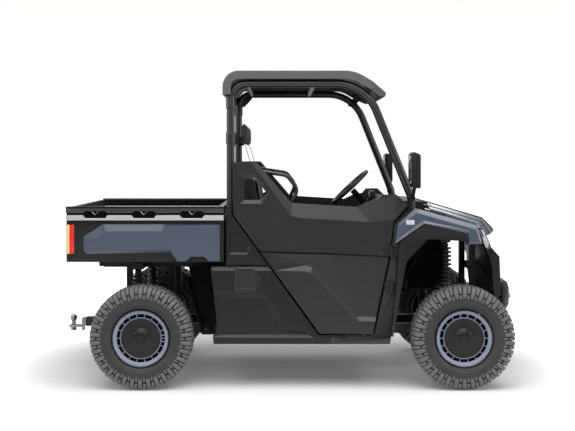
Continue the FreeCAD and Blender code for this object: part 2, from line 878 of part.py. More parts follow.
# Ball mount in the receiver
derive("ball_x", s.rear_x + s.ball_setback)
derive("shank_half", s.hitch_width / 2 - s.hitch_wall - s.seat_gap)
shank_middle_z = s.hitch_low_z + s.hitch_width / 2
drop_x = s.hitch_rear_x - s.hitch_wall * 2
node(fuse("tow_ball_mount", [
    across("shank", drop_x, s.hitch_rear_x + s.hitch_length * 0.7, s.shank_half, shank_middle_z - s.shank_half,
           shank_middle_z + s.shank_half),
    across("drop_plate", drop_x - s.ball_plate_wall, drop_x, s.hitch_width / 2, s.ball_plate_z - s.ball_nut_height,
           shank_middle_z + s.shank_half),
    across("ball_plate", s.rear_x, drop_x, s.hitch_width / 2, s.ball_plate_z, s.ball_plate_z + s.ball_plate_wall),
    stub("ball_neck", "Z", s.ball_x, Size(0), s.ball_plate_z, s.ball_neck_radius, s.ball_height),
    stub("ball_nut", "Z", s.ball_x, Size(0), s.ball_plate_z - s.ball_nut_height, s.ball_nut_radius,
         s.ball_nut_height, 6),
]))
ball_rings = 9
ball_angles = [math.pi * ring / (ball_rings + 1) for ring in range(1, ball_rings + 1)]
ball_places = [(s.ball_radius * -math.cos(angle), s.ball_radius * math.sin(angle)) for angle in ball_angles]
ball = turned("tow_ball", [(ball_places[0][0], Size(0))] + ball_places + [(ball_places[-1][0], Size(0))], 18, "Z")
settle(ball, s.ball_x, Size(0), s.ball_plate_z + s.ball_height)
doc.getObject("tow_ball_mount").Shapes = doc.getObject("tow_ball_mount").Shapes + [ball]

# Cab floor with its toe board
derive("liner_x", s.hinge_x + s.toe_setback)
derive("toe_x", s.liner_x - s.liner_wall - s.seat_gap)
node(fuse("cab_floor", [
    across("floor_pan", s.pillar_x - s.cage_radius - s.ball_neck_radius * 0.2, s.liner_x, s.floor_half_width,
           s.floor_z, s.floor_top_z),
    across("toe_board", s.toe_x - s.toe_wall, s.toe_x, s.dash_half_width, s.floor_top_z,
           s.floor_top_z + s.toe_height),
]))

# Battery pack under the seats
derive("battery_x", s.pillar_x + s.cage_radius + s.overrun)
derive("battery_z", s.floor_top_z + s.seat_gap)
derive("battery_top_z", s.battery_z + s.battery_height)
node(across("battery_pack", s.battery_x, s.battery_x + s.battery_length, s.battery_half_width, s.battery_z,
            s.battery_top_z))

# Drive units between the rails, bolted to their faces
derive("motor_z", s.rail_top_z - s.rail_height + s.seat_gap)
node(group("drive_units", [
    across("rear_drive", s.rear_axle_x - s.motor_length / 2, s.rear_axle_x + s.motor_length / 2,
           s.rail_inner_y - s.seat_gap, s.belly_z, s.belly_z + s.motor_height),
    across("front_drive", s.front_axle_x - s.front_drive_length * 0.35, s.front_axle_x + s.front_drive_length * 0.65,
           s.rail_inner_y - s.seat_gap, s.belly_z, s.belly_z + s.front_drive_height),
]))

# Suspension: an upper and a lower arm at each wheel
derive("ball_joint_z", s.knuckle_low_z - s.seat_gap - s.ball_joint_height)
derive("knuckle_top_z", s.knuckle_low_z + s.knuckle_height)


def arm(name, axle_x, knuckle_y, pivot_z, joint_z, half_spread, foot_x=None):
    """One wishbone with its two inner eyes and its ball joint."""
    middle_z = joint_z + s.ball_joint_height * 0.4
    parts = [stub(name + "_joint", "Z", axle_x, -knuckle_y, joint_z, s.ball_joint_radius, s.ball_joint_height)]
    for end, spread_x in (("rear", -half_spread), ("front", half_spread)):
        x = axle_x + spread_x
        parts.append(strut(f"{name}_{end}_tube", (x, -s.arm_eye_y, pivot_z), (axle_x, -knuckle_y, middle_z),
                           s.arm_tube_radius))
        parts.append(stub(f"{name}_{end}_eye", "X", x - s.arm_eye_length / 2, -s.arm_eye_y, pivot_z,
                          s.arm_eye_radius, s.arm_eye_length))
    if foot_x is not None:
        along = (foot_x - axle_x + half_spread) / half_spread
        y = -s.arm_eye_y - (knuckle_y - s.arm_eye_y) * along
        low = pivot_z + (middle_z - pivot_z) * along
        parts.append(box(name + "_foot", foot_x - s.shock_eye_length / 2, foot_x + s.shock_eye_length / 2,
                         y - s.shock_eye_radius, y + s.shock_eye_radius, low, s.shock_foot_z))
    return fuse(name, parts)


coil_count = 7


def coil_form(name, start, end, outer, inner, count):
    """A coil spring's outline as ridges in flats, one to a turn."""
    a = Vector(*[float(v) for v in start])
    b = Vector(*[float(v) for v in end])
    along = (b - a).normalize()
    rows = []
    for index in range(count * 2 + 1):
        radius = float(outer) if index % 2 else float(inner)
        rows.append(flat_corners(a + (b - a) * (index / (count * 2)), along, Vector(1, 0, 0), radius, 8))
    faces = [plane_face(rows[0]), plane_face(rows[-1])]
    for first, second in zip(rows, rows[1:]):
        faces += band(first, second)
    return feature(name, closed_solid(faces))


arms = []
shocks = []
for name, axle_x, knuckle_y, shock_x, deck_z in (
    ("front", s.front_axle_x, s.kingpin_y, s.shock_front_x, s.front_deck_low_z),
    ("rear", s.rear_axle_x, s.rear_knuckle_y, s.shock_rear_x, s.rear_deck_low_z),
):
    arms.append(arm(name + "_lower_arm", axle_x, knuckle_y, s.lower_pivot_z, s.ball_joint_z,
                    s.arm_spread, shock_x))
    arms.append(arm(name + "_upper_arm", axle_x, knuckle_y, s.upper_pivot_z,
                    s.knuckle_top_z + s.seat_gap, s.upper_arm_spread))
    along = (shock_x - axle_x + s.arm_spread) / s.arm_spread
    foot_y = s.arm_eye_y + (knuckle_y - s.arm_eye_y) * along
    low_z = s.shock_foot_z + s.shock_eye_radius + s.seat_gap
    top_z = deck_z - s.shock_eye_radius - s.seat_gap
    start = (shock_x, -foot_y, low_z)
    end = (shock_x, -s.shock_top_y, top_z)

    def partway(share):
        return tuple(a + (b - a) * share for a, b in zip(start, end))

    shock_shares = (0.14, 0.9)
    shocks.append(fuse(name + "_shock", [
        stub(name + "_shock_low_eye", "X", shock_x - s.shock_eye_length / 2, -foot_y, low_z, s.shock_eye_radius,
             s.shock_eye_length),
        stub(name + "_shock_top_eye", "X", shock_x - s.shock_eye_length / 2, -s.shock_top_y, top_z,
             s.shock_eye_radius, s.shock_eye_length),
        strut(name + "_shock_body", start, end, s.shock_body_radius / 2),
        coil_form(name + "_spring", partway(shock_shares[0]), partway(shock_shares[1]), s.spring_radius,
                  s.spring_radius - s.spring_wire, coil_count),
    ]))
node(group("suspension_arms", arms + [mirrored(a.Name + "_left", a) for a in arms]))
node(group("coilovers", shocks + [mirrored(a.Name + "_left", a) for a in shocks]))


# Knuckles with their spindles
def knuckle_block(name, axle_x, inner_y):
    return fuse(name, [
        stub(name + "_kingpin", "Z", axle_x, -inner_y, s.knuckle_low_z, s.kingpin_radius, s.knuckle_height),
        right(name + "_block", axle_x - s.knuckle_length / 2, axle_x + s.knuckle_length / 2,
              inner_y, inner_y + s.knuckle_width / 2, s.knuckle_low_z + s.ball_joint_radius,
              s.knuckle_top_z - s.ball_joint_radius),
        rod(name + "_spindle", "Y", axle_x, -(inner_y + s.knuckle_width / 2 + s.spindle_length), s.hub_z,
            s.spindle_radius, s.spindle_length + s.knuckle_width / 2),
    ])


arm_x = s.front_axle_x - s.steering_arm_length
steer_arm = fuse("steer_arm", [
    right("steer_arm_bar", arm_x, s.front_axle_x - s.knuckle_length / 2,
          s.kingpin_y - s.steering_arm_inset - s.steering_arm_width / 2,
          s.kingpin_y - s.steering_arm_inset + s.steering_arm_width / 2, s.steering_arm_z,
          s.steering_arm_z + s.steering_arm_wall),
    stub("steer_arm_eye", "Z", arm_x, -(s.kingpin_y - s.steering_arm_inset), s.steering_arm_z,
         s.tie_rod_eye_radius, s.steering_arm_wall),
    right("steer_arm_root", s.front_axle_x - s.knuckle_length / 2 - s.seam, s.front_axle_x,
          s.kingpin_y - s.steering_arm_inset - s.steering_arm_width / 2, s.kingpin_y, s.steering_arm_z,
          s.steering_arm_z + s.steering_arm_wall),
])
node(fuse("knuckle_front_right", [knuckle_block("front_knuckle", s.front_axle_x, s.kingpin_y), steer_arm]))
node(mirrored("knuckle_front_left", doc.getObject("knuckle_front_right")))
node(both("rear_knuckles", knuckle_block("rear_knuckle", s.rear_axle_x, s.rear_knuckle_y)))

# Drive shafts, each with a boot at its inner end
shafts = []
for name, axle_x, knuckle_y in (
    ("front", s.front_axle_x, s.kingpin_y), ("rear", s.rear_axle_x, s.rear_knuckle_y)
):
    start = (axle_x, -(s.rail_inner_y), s.shaft_inner_z)
    end = (axle_x, -(knuckle_y - s.kingpin_radius - s.shaft_end_gap), s.hub_z)
    drop_share = s.shaft_boot_length / (knuckle_y - s.rail_inner_y)
    boot_end = tuple(a + (b - a) * drop_share for a, b in zip(start, end))
    shaft = fuse(name + "_half_shaft", [
        strut(name + "_shaft", start, end, s.half_shaft_radius),
        strut(name + "_boot", start, boot_end, s.shaft_boot_radius),
    ])
    keep = right(name + "_shaft_keep", axle_x - s.motor_length, axle_x + s.motor_length, s.rail_inner_y,
                 knuckle_y - s.kingpin_radius - s.shaft_end_gap, s.rail_top_z + s.seat_gap, s.rail_top_z * 2)
    low = right(name + "_shaft_low", axle_x - s.motor_length, axle_x + s.motor_length, s.rail_outer_y,
                knuckle_y - s.kingpin_radius - s.shaft_end_gap, s.hub_z / 2, s.rail_top_z + s.seat_gap)
    shafts.append(common(name + "_shaft_trim", shaft, fuse(name + "_shaft_room", [keep, low])))
node(group("drive_shafts", shafts + [mirrored(a.Name + "_left", a) for a in shafts]))

# Steering rack, its case and the tie rods
derive("tie_rod_z", s.steering_arm_z + s.steering_arm_wall + s.tie_rod_clearance + s.tie_rod_radius)
derive("tie_rod_x", s.front_axle_x - s.steering_arm_length)
rack_reach = s.kingpin_y - s.steering_arm_inset
eye_low = s.tie_rod_z - s.tie_rod_eye_height / 2
rods = [rod("rack_bar", "Y", s.tie_rod_x, -rack_reach, s.tie_rod_z, s.tie_rod_radius, rack_reach * 2)]
for name, y in (("tie_rod_eye_right", -rack_reach), ("tie_rod_eye_left", rack_reach)):
    rods.append(stub(name, "Z", s.tie_rod_x, y, eye_low, s.tie_rod_eye_radius, s.tie_rod_eye_height))
node(fuse("tie_rods", rods))
case = across("rack_case_block", s.tie_rod_x - s.rack_case_length / 2, s.tie_rod_x + s.rack_case_length / 2,
              s.rack_case_half_width, s.rail_top_z + s.seat_gap, s.rail_top_z + s.seat_gap + s.rack_case_height)
bore = rod("rack_bore", "Y", s.tie_rod_x, -s.rail_outer_y, s.tie_rod_z, s.tie_rod_radius + s.running_gap,
           s.rail_outer_y * 2)
node(cut("rack_case", case, [bore]))


# Wheels: tyres with staggered shoulder lugs, rims with a windowed disc, all in flats round the axle
lug_count = 26
window_count = 18
rim_flats = window_count * 2
lug_top_share = 0.41
shoulder_share = 0.92


def lug_corners(y, share, phase):
    """The four corners of every lug in one row across the tread, from its root round its top."""
    tip = float(s.tyre_radius) * share
    root = float(s.tyre_radius - s.lug_height) * share
    rows = []
    for index in range(lug_count):
        corners = []
        for radius, half_share in ((root, -0.25), (tip, lug_top_share / -2), (tip, lug_top_share / 2), (root, 0.25)):
            angle = math.tau * (index + phase + half_share) / lug_count
            corners.append(Vector(radius * math.sin(angle), float(y), radius * math.cos(angle)))
        rows.append(corners)
    return rows


def tyre_half(name, side_y, middle_y, inward, phase):
    """Half a tyre from its middle to one side: tread lugs, shoulder, sidewall and bead."""
    middle = lug_corners(middle_y, 1, phase)
    tread = lug_corners(side_y + s.lug_taper * inward, 1, phase)
    shoulder = lug_corners(side_y, shoulder_share, phase)
    bead_radius = float(s.tyre_bead_radius) / math.cos(math.pi / (lug_count * 2))
    root_radius = float(s.tyre_radius - s.lug_height) * shoulder_share
    base = [corners[index] for corners in shoulder for index in (0, 3)]
    bead_y = float(side_y + s.tyre_bead_inset * inward)
    bead = [Vector(p.x * bead_radius / root_radius, bead_y, p.z * bead_radius / root_radius) for p in base]
    bore = [Vector(p.x, float(middle_y), p.z) for p in bead]
    flat = [[p for corners in row for p in corners] for row in (middle, tread, shoulder)]
    faces = band(flat[0], flat[1]) + band(flat[1], flat[2]) + band(base, bead) + band(bead, bore)
    faces += [plane_face(corners) for corners in shoulder]
    rim_edge, bore_edge = (Part.makePolygon(row + [row[0]]) for row in (flat[0], bore))
    faces.append(Part.makeFace([rim_edge, bore_edge], "Part::FaceMakerBullseye"))
    return feature(name, closed_solid(faces))


def window_tools(name, y0, y1):
    """One cutter for each window of a rim's disc."""
    half_in = float(s.window_width) / 2 * float(s.window_inner_radius / s.window_outer_radius)
    half_out = float(s.window_width) / 2
    outline_points = ((-half_in, float(s.window_inner_radius)), (-half_out, float(s.window_outer_radius)),
                      (half_out, float(s.window_outer_radius)), (half_in, float(s.window_inner_radius)))
    cutters = []
    for index in range(window_count):
        turn = Rotation(Vector(0, 1, 0), math.degrees(math.tau) * index / window_count)
        first, second = ([turn.multVec(Vector(x, float(y), z)) for x, z in outline_points] for y in (y0, y1))
        cutters.append(closed_solid([plane_face(first), plane_face(second)] + band(first, second)))
    return feature(name, Part.makeCompound(cutters))


def wheel(end, axle_x, width, knuckle_y):
    face = -s.tyre_outer_y
    back = face + width
    tyre = fuse(f"tyre_{end}_right", [
        tyre_half(f"tyre_{end}_outer", face, face + width / 2, 1, 0),
        tyre_half(f"tyre_{end}_inner", back, face + width / 2, -1, 0.5),
    ])
    settle(tyre, axle_x, Size(0), s.hub_z)
    node(tyre)
    node(mirrored(f"tyre_{end}_left", tyre))

    edge = face + s.rim_lip_inset
    inner = back - s.rim_lip_inset
    outer_r = s.tyre_bead_radius - s.seat_gap
    barrel_r = outer_r - s.rim_wall
    disc = edge + s.rim_disc_inset
    disc_back = disc + s.rim_disc_wall
    hub_end = -(knuckle_y + s.knuckle_width / 2 + s.brake_disc_gap)
    brake = hub_end - s.brake_disc_wall
    bore_r = (s.spindle_radius + s.running_gap) * (1 / math.cos(math.pi / rim_flats))
    form = turned(f"rim_{end}_form", [
        (disc - s.hub_cone_height - s.hub_cap_height, Size(0)),
        (disc - s.hub_cone_height - s.hub_cap_height, s.hub_cap_radius * 0.8),
        (disc - s.hub_cone_height, s.hub_cap_radius),
        (disc - s.hub_cone_height, s.hub_cone_tip_radius),
        (disc, s.hub_cone_radius),
        (disc, barrel_r),
        (edge, barrel_r),
        (edge, outer_r),
        (inner, outer_r),
        (inner, barrel_r),
        (disc_back, barrel_r),
        (disc_back, s.hub_radius),
        (brake, s.hub_radius),
        (brake, s.brake_disc_radius),
        (hub_end, s.brake_disc_radius),
        (hub_end, bore_r),
        (hub_end - s.spindle_length, bore_r),
        (hub_end - s.spindle_length, Size(0)),
    ], rim_flats)
    rim = cut(f"rim_{end}_right", form, [window_tools(f"windows_{end}", disc - s.seam, disc_back + s.seam)])
    settle(rim, axle_x, Size(0), s.hub_z)
    node(rim)
    node(mirrored(f"rim_{end}_left", rim))


wheel("front", s.front_axle_x, s.front_tyre_width, s.kingpin_y)
wheel("rear", s.rear_axle_x, s.rear_tyre_width, s.rear_knuckle_y)


def grown(name, points, margin, inner, outer):
    """A passenger side prism on an outline that is wider all round by a margin."""
    sketch = doc.addObject("Sketcher::SketchObject", name + "_outline")
    settle(sketch, Size(0), -outer, Size(0), PLANES["XZ"][0])
    outline(sketch, points)
    wider = doc.addObject("Part::Offset2D", name + "_offset")
    wider.Source = sketch
    wider.Join = "Intersection"
    bind(wider, "Value", margin)
    made = doc.addObject("Part::Extrusion", name)
    made.Base = wider
    made.DirMode = "Custom"
    made.Dir = Vector(0, 1, 0)
    made.Solid = True
    bind(made, "LengthFwd", outer - inner)
    return made


def skin(name, points, inner, outer):
    """A passenger side plate between two distances from the middle."""
    return prism(name, "XZ", points, -outer, -inner)


# Doors
door_shares = (
    (0, 1), (0.13, 0.999), (0.331, 0.763), (0.41, 0.756), (0.555, 0.746), (0.705, 0.738),
    (0.77, 0.769), (0.831, 0.781), (0.855, 0.81), (0.934, 0.812), (1, 0.75), (0.916, 0.656),
    (0.892, 0.447), (0.8, 0), (0.494, 0.004), (0, 0.695),
)
window_shares = (
    (0.061, 0.905), (0.121, 0.909), (0.191, 0.819), (0.153, 0.78), (0.063, 0.78),
)
recess_shares = (
    (0.198, 0.464), (0.855, 0.432), (0.78, 0.101), (0.708, 0.09), (0.433, 0.381), (0.226, 0.389),
)
door_box = (s.door_rear_x, s.door_length, s.door_low_z, s.door_height)
derive("door_outer_y", s.door_inner_y + s.door_wall)
door_points = spread(*door_box, door_shares)
door = Maker("door_panel")
face = door.sketch("XZ", s.door_inner_y + 0)
outline(face, door_points)
slab = door.pad(face, s.door_wall + 0)
bevel_low = float(s.door_low_z + s.door_height * 0.72)
slab = door.dress("Chamfer", slab, lambda e: all(near(v.Y, -s.door_outer_y) for v in e.Vertexes)
                  and all(v.Z > bevel_low for v in e.Vertexes) and not edge_along(e, 2), s.door_relief * 2, "Size")
hole = door.sketch("XZ", s.door_outer_y + 0)
outline(hole, spread(*door_box, window_shares))
door.pocket(hole, s.door_wall + 0)
dent = door.sketch("XZ", s.door_outer_y + 0)
outline(dent, spread(*door_box, recess_shares))
door.pocket(dent, s.door_relief + 0)

derive("strap_inner_y", s.door_hinge_y - s.hinge_barrel_radius)
derive("hinge_outer_y", s.door_hinge_y + s.hinge_barrel_radius)
straps = []
bores = []
pins = []
for name, low in (("low", s.hinge_low_z), ("high", s.hinge_high_z)):
    strap_rear = s.door_rear_x + s.door_length * 0.84
    straps.append(right(f"{name}_strap", strap_rear, s.hinge_x + 0, s.strap_inner_y, s.door_hinge_y, low,
                        low + s.hinge_height))
    straps.append(right(f"{name}_strap_foot", strap_rear, strap_rear + s.hinge_barrel_radius * 1.4, s.door_outer_y,
                        s.strap_inner_y, low, low + s.hinge_height))
    straps.append(rod(f"{name}_barrel", "Z", s.hinge_x, -s.door_hinge_y, low, s.hinge_barrel_radius,
                      s.hinge_height))
    bores.append(rod(f"{name}_bore", "Z", s.hinge_x, -s.door_hinge_y, low - s.overrun,
                     s.hinge_pin_radius + s.running_gap, s.hinge_height + s.overrun * 2))
    pins.append(rod(f"{name}_pin", "Z", s.hinge_x, -s.door_hinge_y, low - s.hinge_barrel_radius - s.seat_gap,
                    s.hinge_pin_radius, s.hinge_height + (s.hinge_barrel_radius + s.seat_gap) * 2))
    for end, start in (("foot", low - s.hinge_barrel_radius - s.seat_gap), ("head", low + s.hinge_height
                                                                            + s.seat_gap)):
        pins.append(stub(f"{name}_{end}", "Z", s.hinge_x, -s.door_hinge_y, start, s.hinge_barrel_radius,
                         s.hinge_barrel_radius, 10))
        pins.append(right(f"{name}_{end}_leaf", s.hinge_x + 0, s.hinge_x + s.hinge_height * 0.8, s.strap_inner_y,
                          s.door_hinge_y, start, start + s.hinge_barrel_radius))
        pins.append(right(f"{name}_{end}_leaf_foot", s.hinge_x + s.hinge_height * 0.45,
                          s.hinge_x + s.hinge_height * 0.8, s.flare_inner_y, s.door_hinge_y, start,
                          start + s.hinge_barrel_radius))
node(cut("door_right", fuse("door_whole", [door.body] + straps), bores))
node(mirrored("door_left", doc.getObject("door_right")))

# Side panels: rear quarter and rocker in one moulding under each door
panel_box = (s.panel_x, s.panel_length, s.panel_low_z, s.panel_height)
panel_shares = (
    (0.084, 1), (0.125, 1), (0.189, 0.899), (0.639, 0.12), (0.885, 0.059), (1, 0.059), (0.991, 0),
    (0.015, 0), (0.01, 0.057), (0.035, 0.115), (0.015, 0.374), (0, 0.531), (0, 0.562),
    (0.084, 0.562),
)
quarter_recess_shares = (
    (0.125, 0.801), (0.17, 0.801), (0.225, 0.709), (0.211, 0.665), (0.129, 0.665),
)
rocker_recess_shares = (
    (0.037, 0.365), (0.292, 0.353), (0.419, 0.105), (0.597, 0.105), (0.597, 0.089), (0.41, 0.089),
    (0.045, 0.105),
)
flap_shares = (
    (0.136, 0.543), (0.148, 0.558), (0.233, 0.558), (0.278, 0.475), (0.247, 0.378), (0.136, 0.378),
)
derive("panel_outer_y", s.panel_inner_y + s.panel_wall)
panel_plate = skin("panel_plate", spread(*panel_box, panel_shares), s.panel_inner_y, s.panel_outer_y)
door_room = grown("door_room", door_points, s.seam, s.panel_inner_y - s.overrun, s.panel_outer_y + s.overrun)
relief_y = s.panel_outer_y - s.panel_relief
recesses = [
    door_room,
    skin("quarter_recess", spread(*panel_box, quarter_recess_shares), relief_y, s.panel_outer_y + s.overrun),
    skin("rocker_recess", spread(*panel_box, rocker_recess_shares), relief_y, s.panel_outer_y + s.overrun),
]
panel = cut("side_panel", panel_plate, recesses)
well_x = panel_box[0] + s.panel_length * 0.16
well_z = s.panel_low_z + s.panel_height * 0.41
well = right("charge_well", well_x, well_x + s.panel_length * 0.08, s.panel_outer_y - s.charge_well_depth,
             s.panel_outer_y + s.overrun, well_z, well_z + s.panel_height * 0.11)
port = rod("charge_port", "Y", well_x + s.panel_length * 0.04, -s.panel_outer_y + s.flap_wall,
           well_z + s.panel_height * 0.055, s.panel_height * 0.038, s.charge_well_depth - s.flap_wall)
node(group("side_panels", [cut("side_panel_right", panel, [well]), port, mirrored("side_panel_left", panel)]))

# Charge flap on the passenger side
derive("flap_hinge_x", s.panel_x + s.panel_length * 0.1358)
derive("flap_hinge_y", s.panel_outer_y + s.seat_gap + s.flap_barrel_radius)
flap_low = s.panel_low_z + s.panel_height * 0.378
flap_high = s.panel_low_z + s.panel_height * 0.543
node(fuse("charge_flap", [
    skin("flap_plate", spread(*panel_box, flap_shares), s.panel_outer_y + s.seat_gap,
         s.panel_outer_y + s.seat_gap + s.flap_wall),
    rod("flap_barrel", "Z", s.flap_hinge_x, -s.flap_hinge_y, flap_low, s.flap_barrel_radius, flap_high - flap_low),
]))

# Front fenders, flares and hinge posts
nose_box = (s.hinge_x, s.nose_length, s.panel_low_z, s.nose_height)
fender_shares = (
    (0.037, 0.741), (0.071, 0.885), (0.261, 1), (0.951, 0.872), (1, 0.74), (0.832, 0.734),
    (0.838, 0.819), (0.36, 0.891),
)
plate_shares = (
    (-0.161, 0.741), (0.008, 0.867), (0.178, 0.979), (0.289, 0.979), (0.951, 0.855), (0.986, 0.742),
    (0.832, 0.736), (0.819, 0.761), (0.396, 0.777), (0.162, 0.614), (0.105, 0.423), (0.019, 0.065),
    (-0.228, 0.065), (-0.228, 0.234),
)
lip_shares = (
    (0.015, 0.065), (0.105, 0.423), (0.162, 0.614), (0.396, 0.777), (0.819, 0.761), (0.832, 0.732),
    (0.841, 0.818), (0.362, 0.89), (0.083, 0.75), (0.066, 0.628), (0.052, 0.448), (-0.008, 0.065),
)
shelf_shares = (
    (0.305, 0.992), (0.951, 0.872), (0.951, 0.858), (0.305, 0.977),
)
derive("lip_outer_y", s.flare_inner_y + s.flare_wall)
nose_plate = skin("nose_plate", spread(*nose_box, plate_shares), s.flare_inner_y, s.fender_inner_y - s.seat_gap)
nose_room = grown("nose_room", door_points, s.seam, s.flare_inner_y - s.overrun, s.lip_outer_y + s.overrun)
flare = cut("flare_plate", nose_plate, [nose_room])
lip = skin("flare_lip", spread(*nose_box, lip_shares), s.flare_inner_y, s.lip_outer_y)
right_flare = fuse("arch_flare", [flare, lip] + pins)
node(both("arch_flares", right_flare))
fender = skin("fender_skin", spread(*nose_box, fender_shares), s.fender_inner_y, s.fender_inner_y + s.fender_wall)
lip_room = skin("lip_room", spread(*nose_box, lip_shares), s.fender_inner_y - s.overrun, s.lip_outer_y + s.overrun)
shelf = skin("fender_shelf", spread(*nose_box, shelf_shares), s.hood_half_width + s.seam,
             s.fender_inner_y + s.fender_wall)
node(both("front_fenders", fuse("front_fender", [cut("fender_trim", fender, [lip_room]), shelf])))

# Wheel liners behind the front wheels, guards ahead of the rear wheels
liner_shares = (
    (0.024, 0.084), (0.024, 0.182), (0.102, 0.372), (0.201, 0.525), (0.394, 0.766), (0.376, 0.766),
    (0.188, 0.529), (0.088, 0.375), (0.01, 0.185), (0.01, 0.084),
)
liner = skin("front_liner", spread(*nose_box, liner_shares), s.liner_inner_y, s.flare_inner_y - s.seat_gap)
guard_shares = (
    (-0.142, 0.454), (-0.135, 0.404), (-0.057, 0.082), (-0.05, 0.082), (-0.128, 0.404),
    (-0.135, 0.454),
)
guard = skin("rear_guard", spread(*panel_box, guard_shares), s.rear_guard_half_width, s.panel_inner_y - s.seat_gap)
stay_x = panel_box[0] - s.panel_length * 0.055
stay = right("guard_stay", stay_x, s.bed_front_x - s.seat_gap, s.sill_outer_y - s.sill_width, s.sill_outer_y,
             s.rail_top_z, s.rail_top_z + s.overrun)
node(both("wheel_liners", group("liner_side", [liner, fuse("guard_side", [guard, stay])])))

# Nose: fascia with the headlamps let in, hood, bumper
grille_count = 5
fascia_box = (s.fascia_x, s.fascia_length, s.fascia_low_z, s.fascia_height)
fascia_shares = (
    (0, 0.982), (0.211, 0.966), (0.503, 0.71), (0.795, 0.59), (0.827, 0.32), (0.838, 0.084),
    (0.676, 0), (0.622, 0.01), (0.535, 0.268), (0.514, 0.454), (0.227, 0.692), (0.114, 0.776),
)
headlamp_shares = (
    (0.195, 0.97), (0.216, 0.966), (0.481, 0.73), (0.432, 0.69), (0.254, 0.69), (0.114, 0.804),
    (0.038, 0.944),
)
fascia_body = prism("fascia_body", "XZ", spread(*fascia_box, fascia_shares), -s.fascia_half_width,
                    s.fascia_half_width + 0)
derive("lamp_inner_y", s.fascia_half_width - s.lamp_width)
lamp_points = spread(*fascia_box, headlamp_shares)
lamp_room = grown("lamp_room", lamp_points, s.seat_gap, s.lamp_inner_y - s.seat_gap, s.fascia_half_width + s.overrun)
fascia_back = fuse("lamp_rooms", [lamp_room, mirrored("lamp_room_left", lamp_room)])
post_room = across("post_room", s.fascia_x - s.overrun, s.front_post_x + s.half_post + s.seam, s.rail_outer_y + s.seam,
                   s.fascia_low_z, s.front_deck_z + s.seam)
grille_slots = []
derive("grille_pitch", s.fascia_height * 0.27 / grille_count)
for number in range(grille_count):
    low = s.fascia_low_z + s.fascia_height * 0.33 + s.grille_pitch * number
    grille_slots.append(across(f"grille_slot_{number + 1}", s.fascia_x + s.fascia_length - s.grille_depth,
                               s.front_x, s.fascia_half_width * 0.56, low, low + s.grille_pitch * 0.6))
    for name, inner_share, outer_share in (("left", 0.6, 0.8), ("right", -0.8, -0.6)):
        grille_slots.append(box(f"side_slot_{number + 1}_{name}", s.fascia_x + s.fascia_length - s.grille_depth,
                                s.front_x + 0, s.fascia_half_width * inner_share, s.fascia_half_width * outer_share,
                                low, low + s.grille_pitch * 0.6))
node(cut("front_fascia", fascia_body, [fascia_back, post_room] + grille_slots))
node(both("headlamps", skin("headlamp", lamp_points, s.lamp_inner_y, s.fascia_half_width)))

derive("hood_x", s.front_axle_x - s.hood_setback)
hood_box = (s.hood_x, s.hood_length, s.hood_low_z, s.hood_height)
hood_shares = (
    (0, 0.954), (0.837, 0.467), (0.986, 0.167), (1, 0.1), (0.965, 0.037), (0.709, 0.292),
    (0.545, 0.417), (0, 0.738),
)
hood_inner_shares = (
    (-0.079, 0.948), (0, 0.902), (0.829, 0.419), (0.961, 0.15), (0.947, -0.067), (-0.079, 0.35),
)
hood_whole = prism("hood_whole", "XZ", spread(*hood_box, hood_shares), -s.hood_half_width, s.hood_half_width + 0)
hood_hollow = prism("hood_hollow", "XZ", spread(*hood_box, hood_inner_shares), s.hood_wall - s.hood_half_width,
                    s.hood_half_width - s.hood_wall)
derive("hood_hinge_x", s.hood_x - s.hood_hinge_x_gap)
derive("dash_x", s.hinge_x - s.dash_reach)
derive("dash_front_x", s.dash_x + s.dash_length)
hood_parts = [cut("hood_shell", hood_whole, [hood_hollow])]
hood_bores = []
ears = []
ear_y = s.hood_hinge_y + s.hood_barrel_length
for name, y in (("right", -ear_y), ("left", s.hood_hinge_y + 0)):
    hood_parts.append(rod(f"hood_barrel_{name}", "Y", s.hood_hinge_x, y, s.hood_hinge_z, s.hood_barrel_radius,
                          s.hood_barrel_length))
    hood_parts.append(box(f"hood_strap_{name}", s.hood_hinge_x + 0, s.hood_hinge_x + s.hood_barrel_length * 1.1, y,
                          y + s.hood_barrel_length, s.hood_hinge_z, s.hood_hinge_z + s.hood_barrel_radius * 1.6))
    hood_bores.append(rod(f"hood_bore_{name}", "Y", s.hood_hinge_x, y - s.overrun, s.hood_hinge_z,
                          s.hood_pin_radius + s.running_gap, s.hood_barrel_length + s.overrun * 2))
for name, y, pin_y in (
    ("right", -ear_y - s.hood_ear_wall - s.seat_gap, -ear_y - s.seat_gap),
    ("left", ear_y + s.seat_gap, s.hood_hinge_y + 0),
):
    ears.append(box(f"hood_ear_{name}", s.dash_front_x - s.overrun, s.hood_hinge_x + s.hood_barrel_radius, y,
                    y + s.hood_ear_wall, s.hood_hinge_z - s.hood_barrel_radius, s.hood_hinge_z + s.hood_pin_radius * 2))
    ears.append(rod(f"hood_pin_{name}", "Y", s.hood_hinge_x, pin_y, s.hood_hinge_z, s.hood_pin_radius,
                    s.hood_barrel_length + s.seat_gap))
node(cut("hood", fuse("hood_parts", hood_parts), hood_bores))

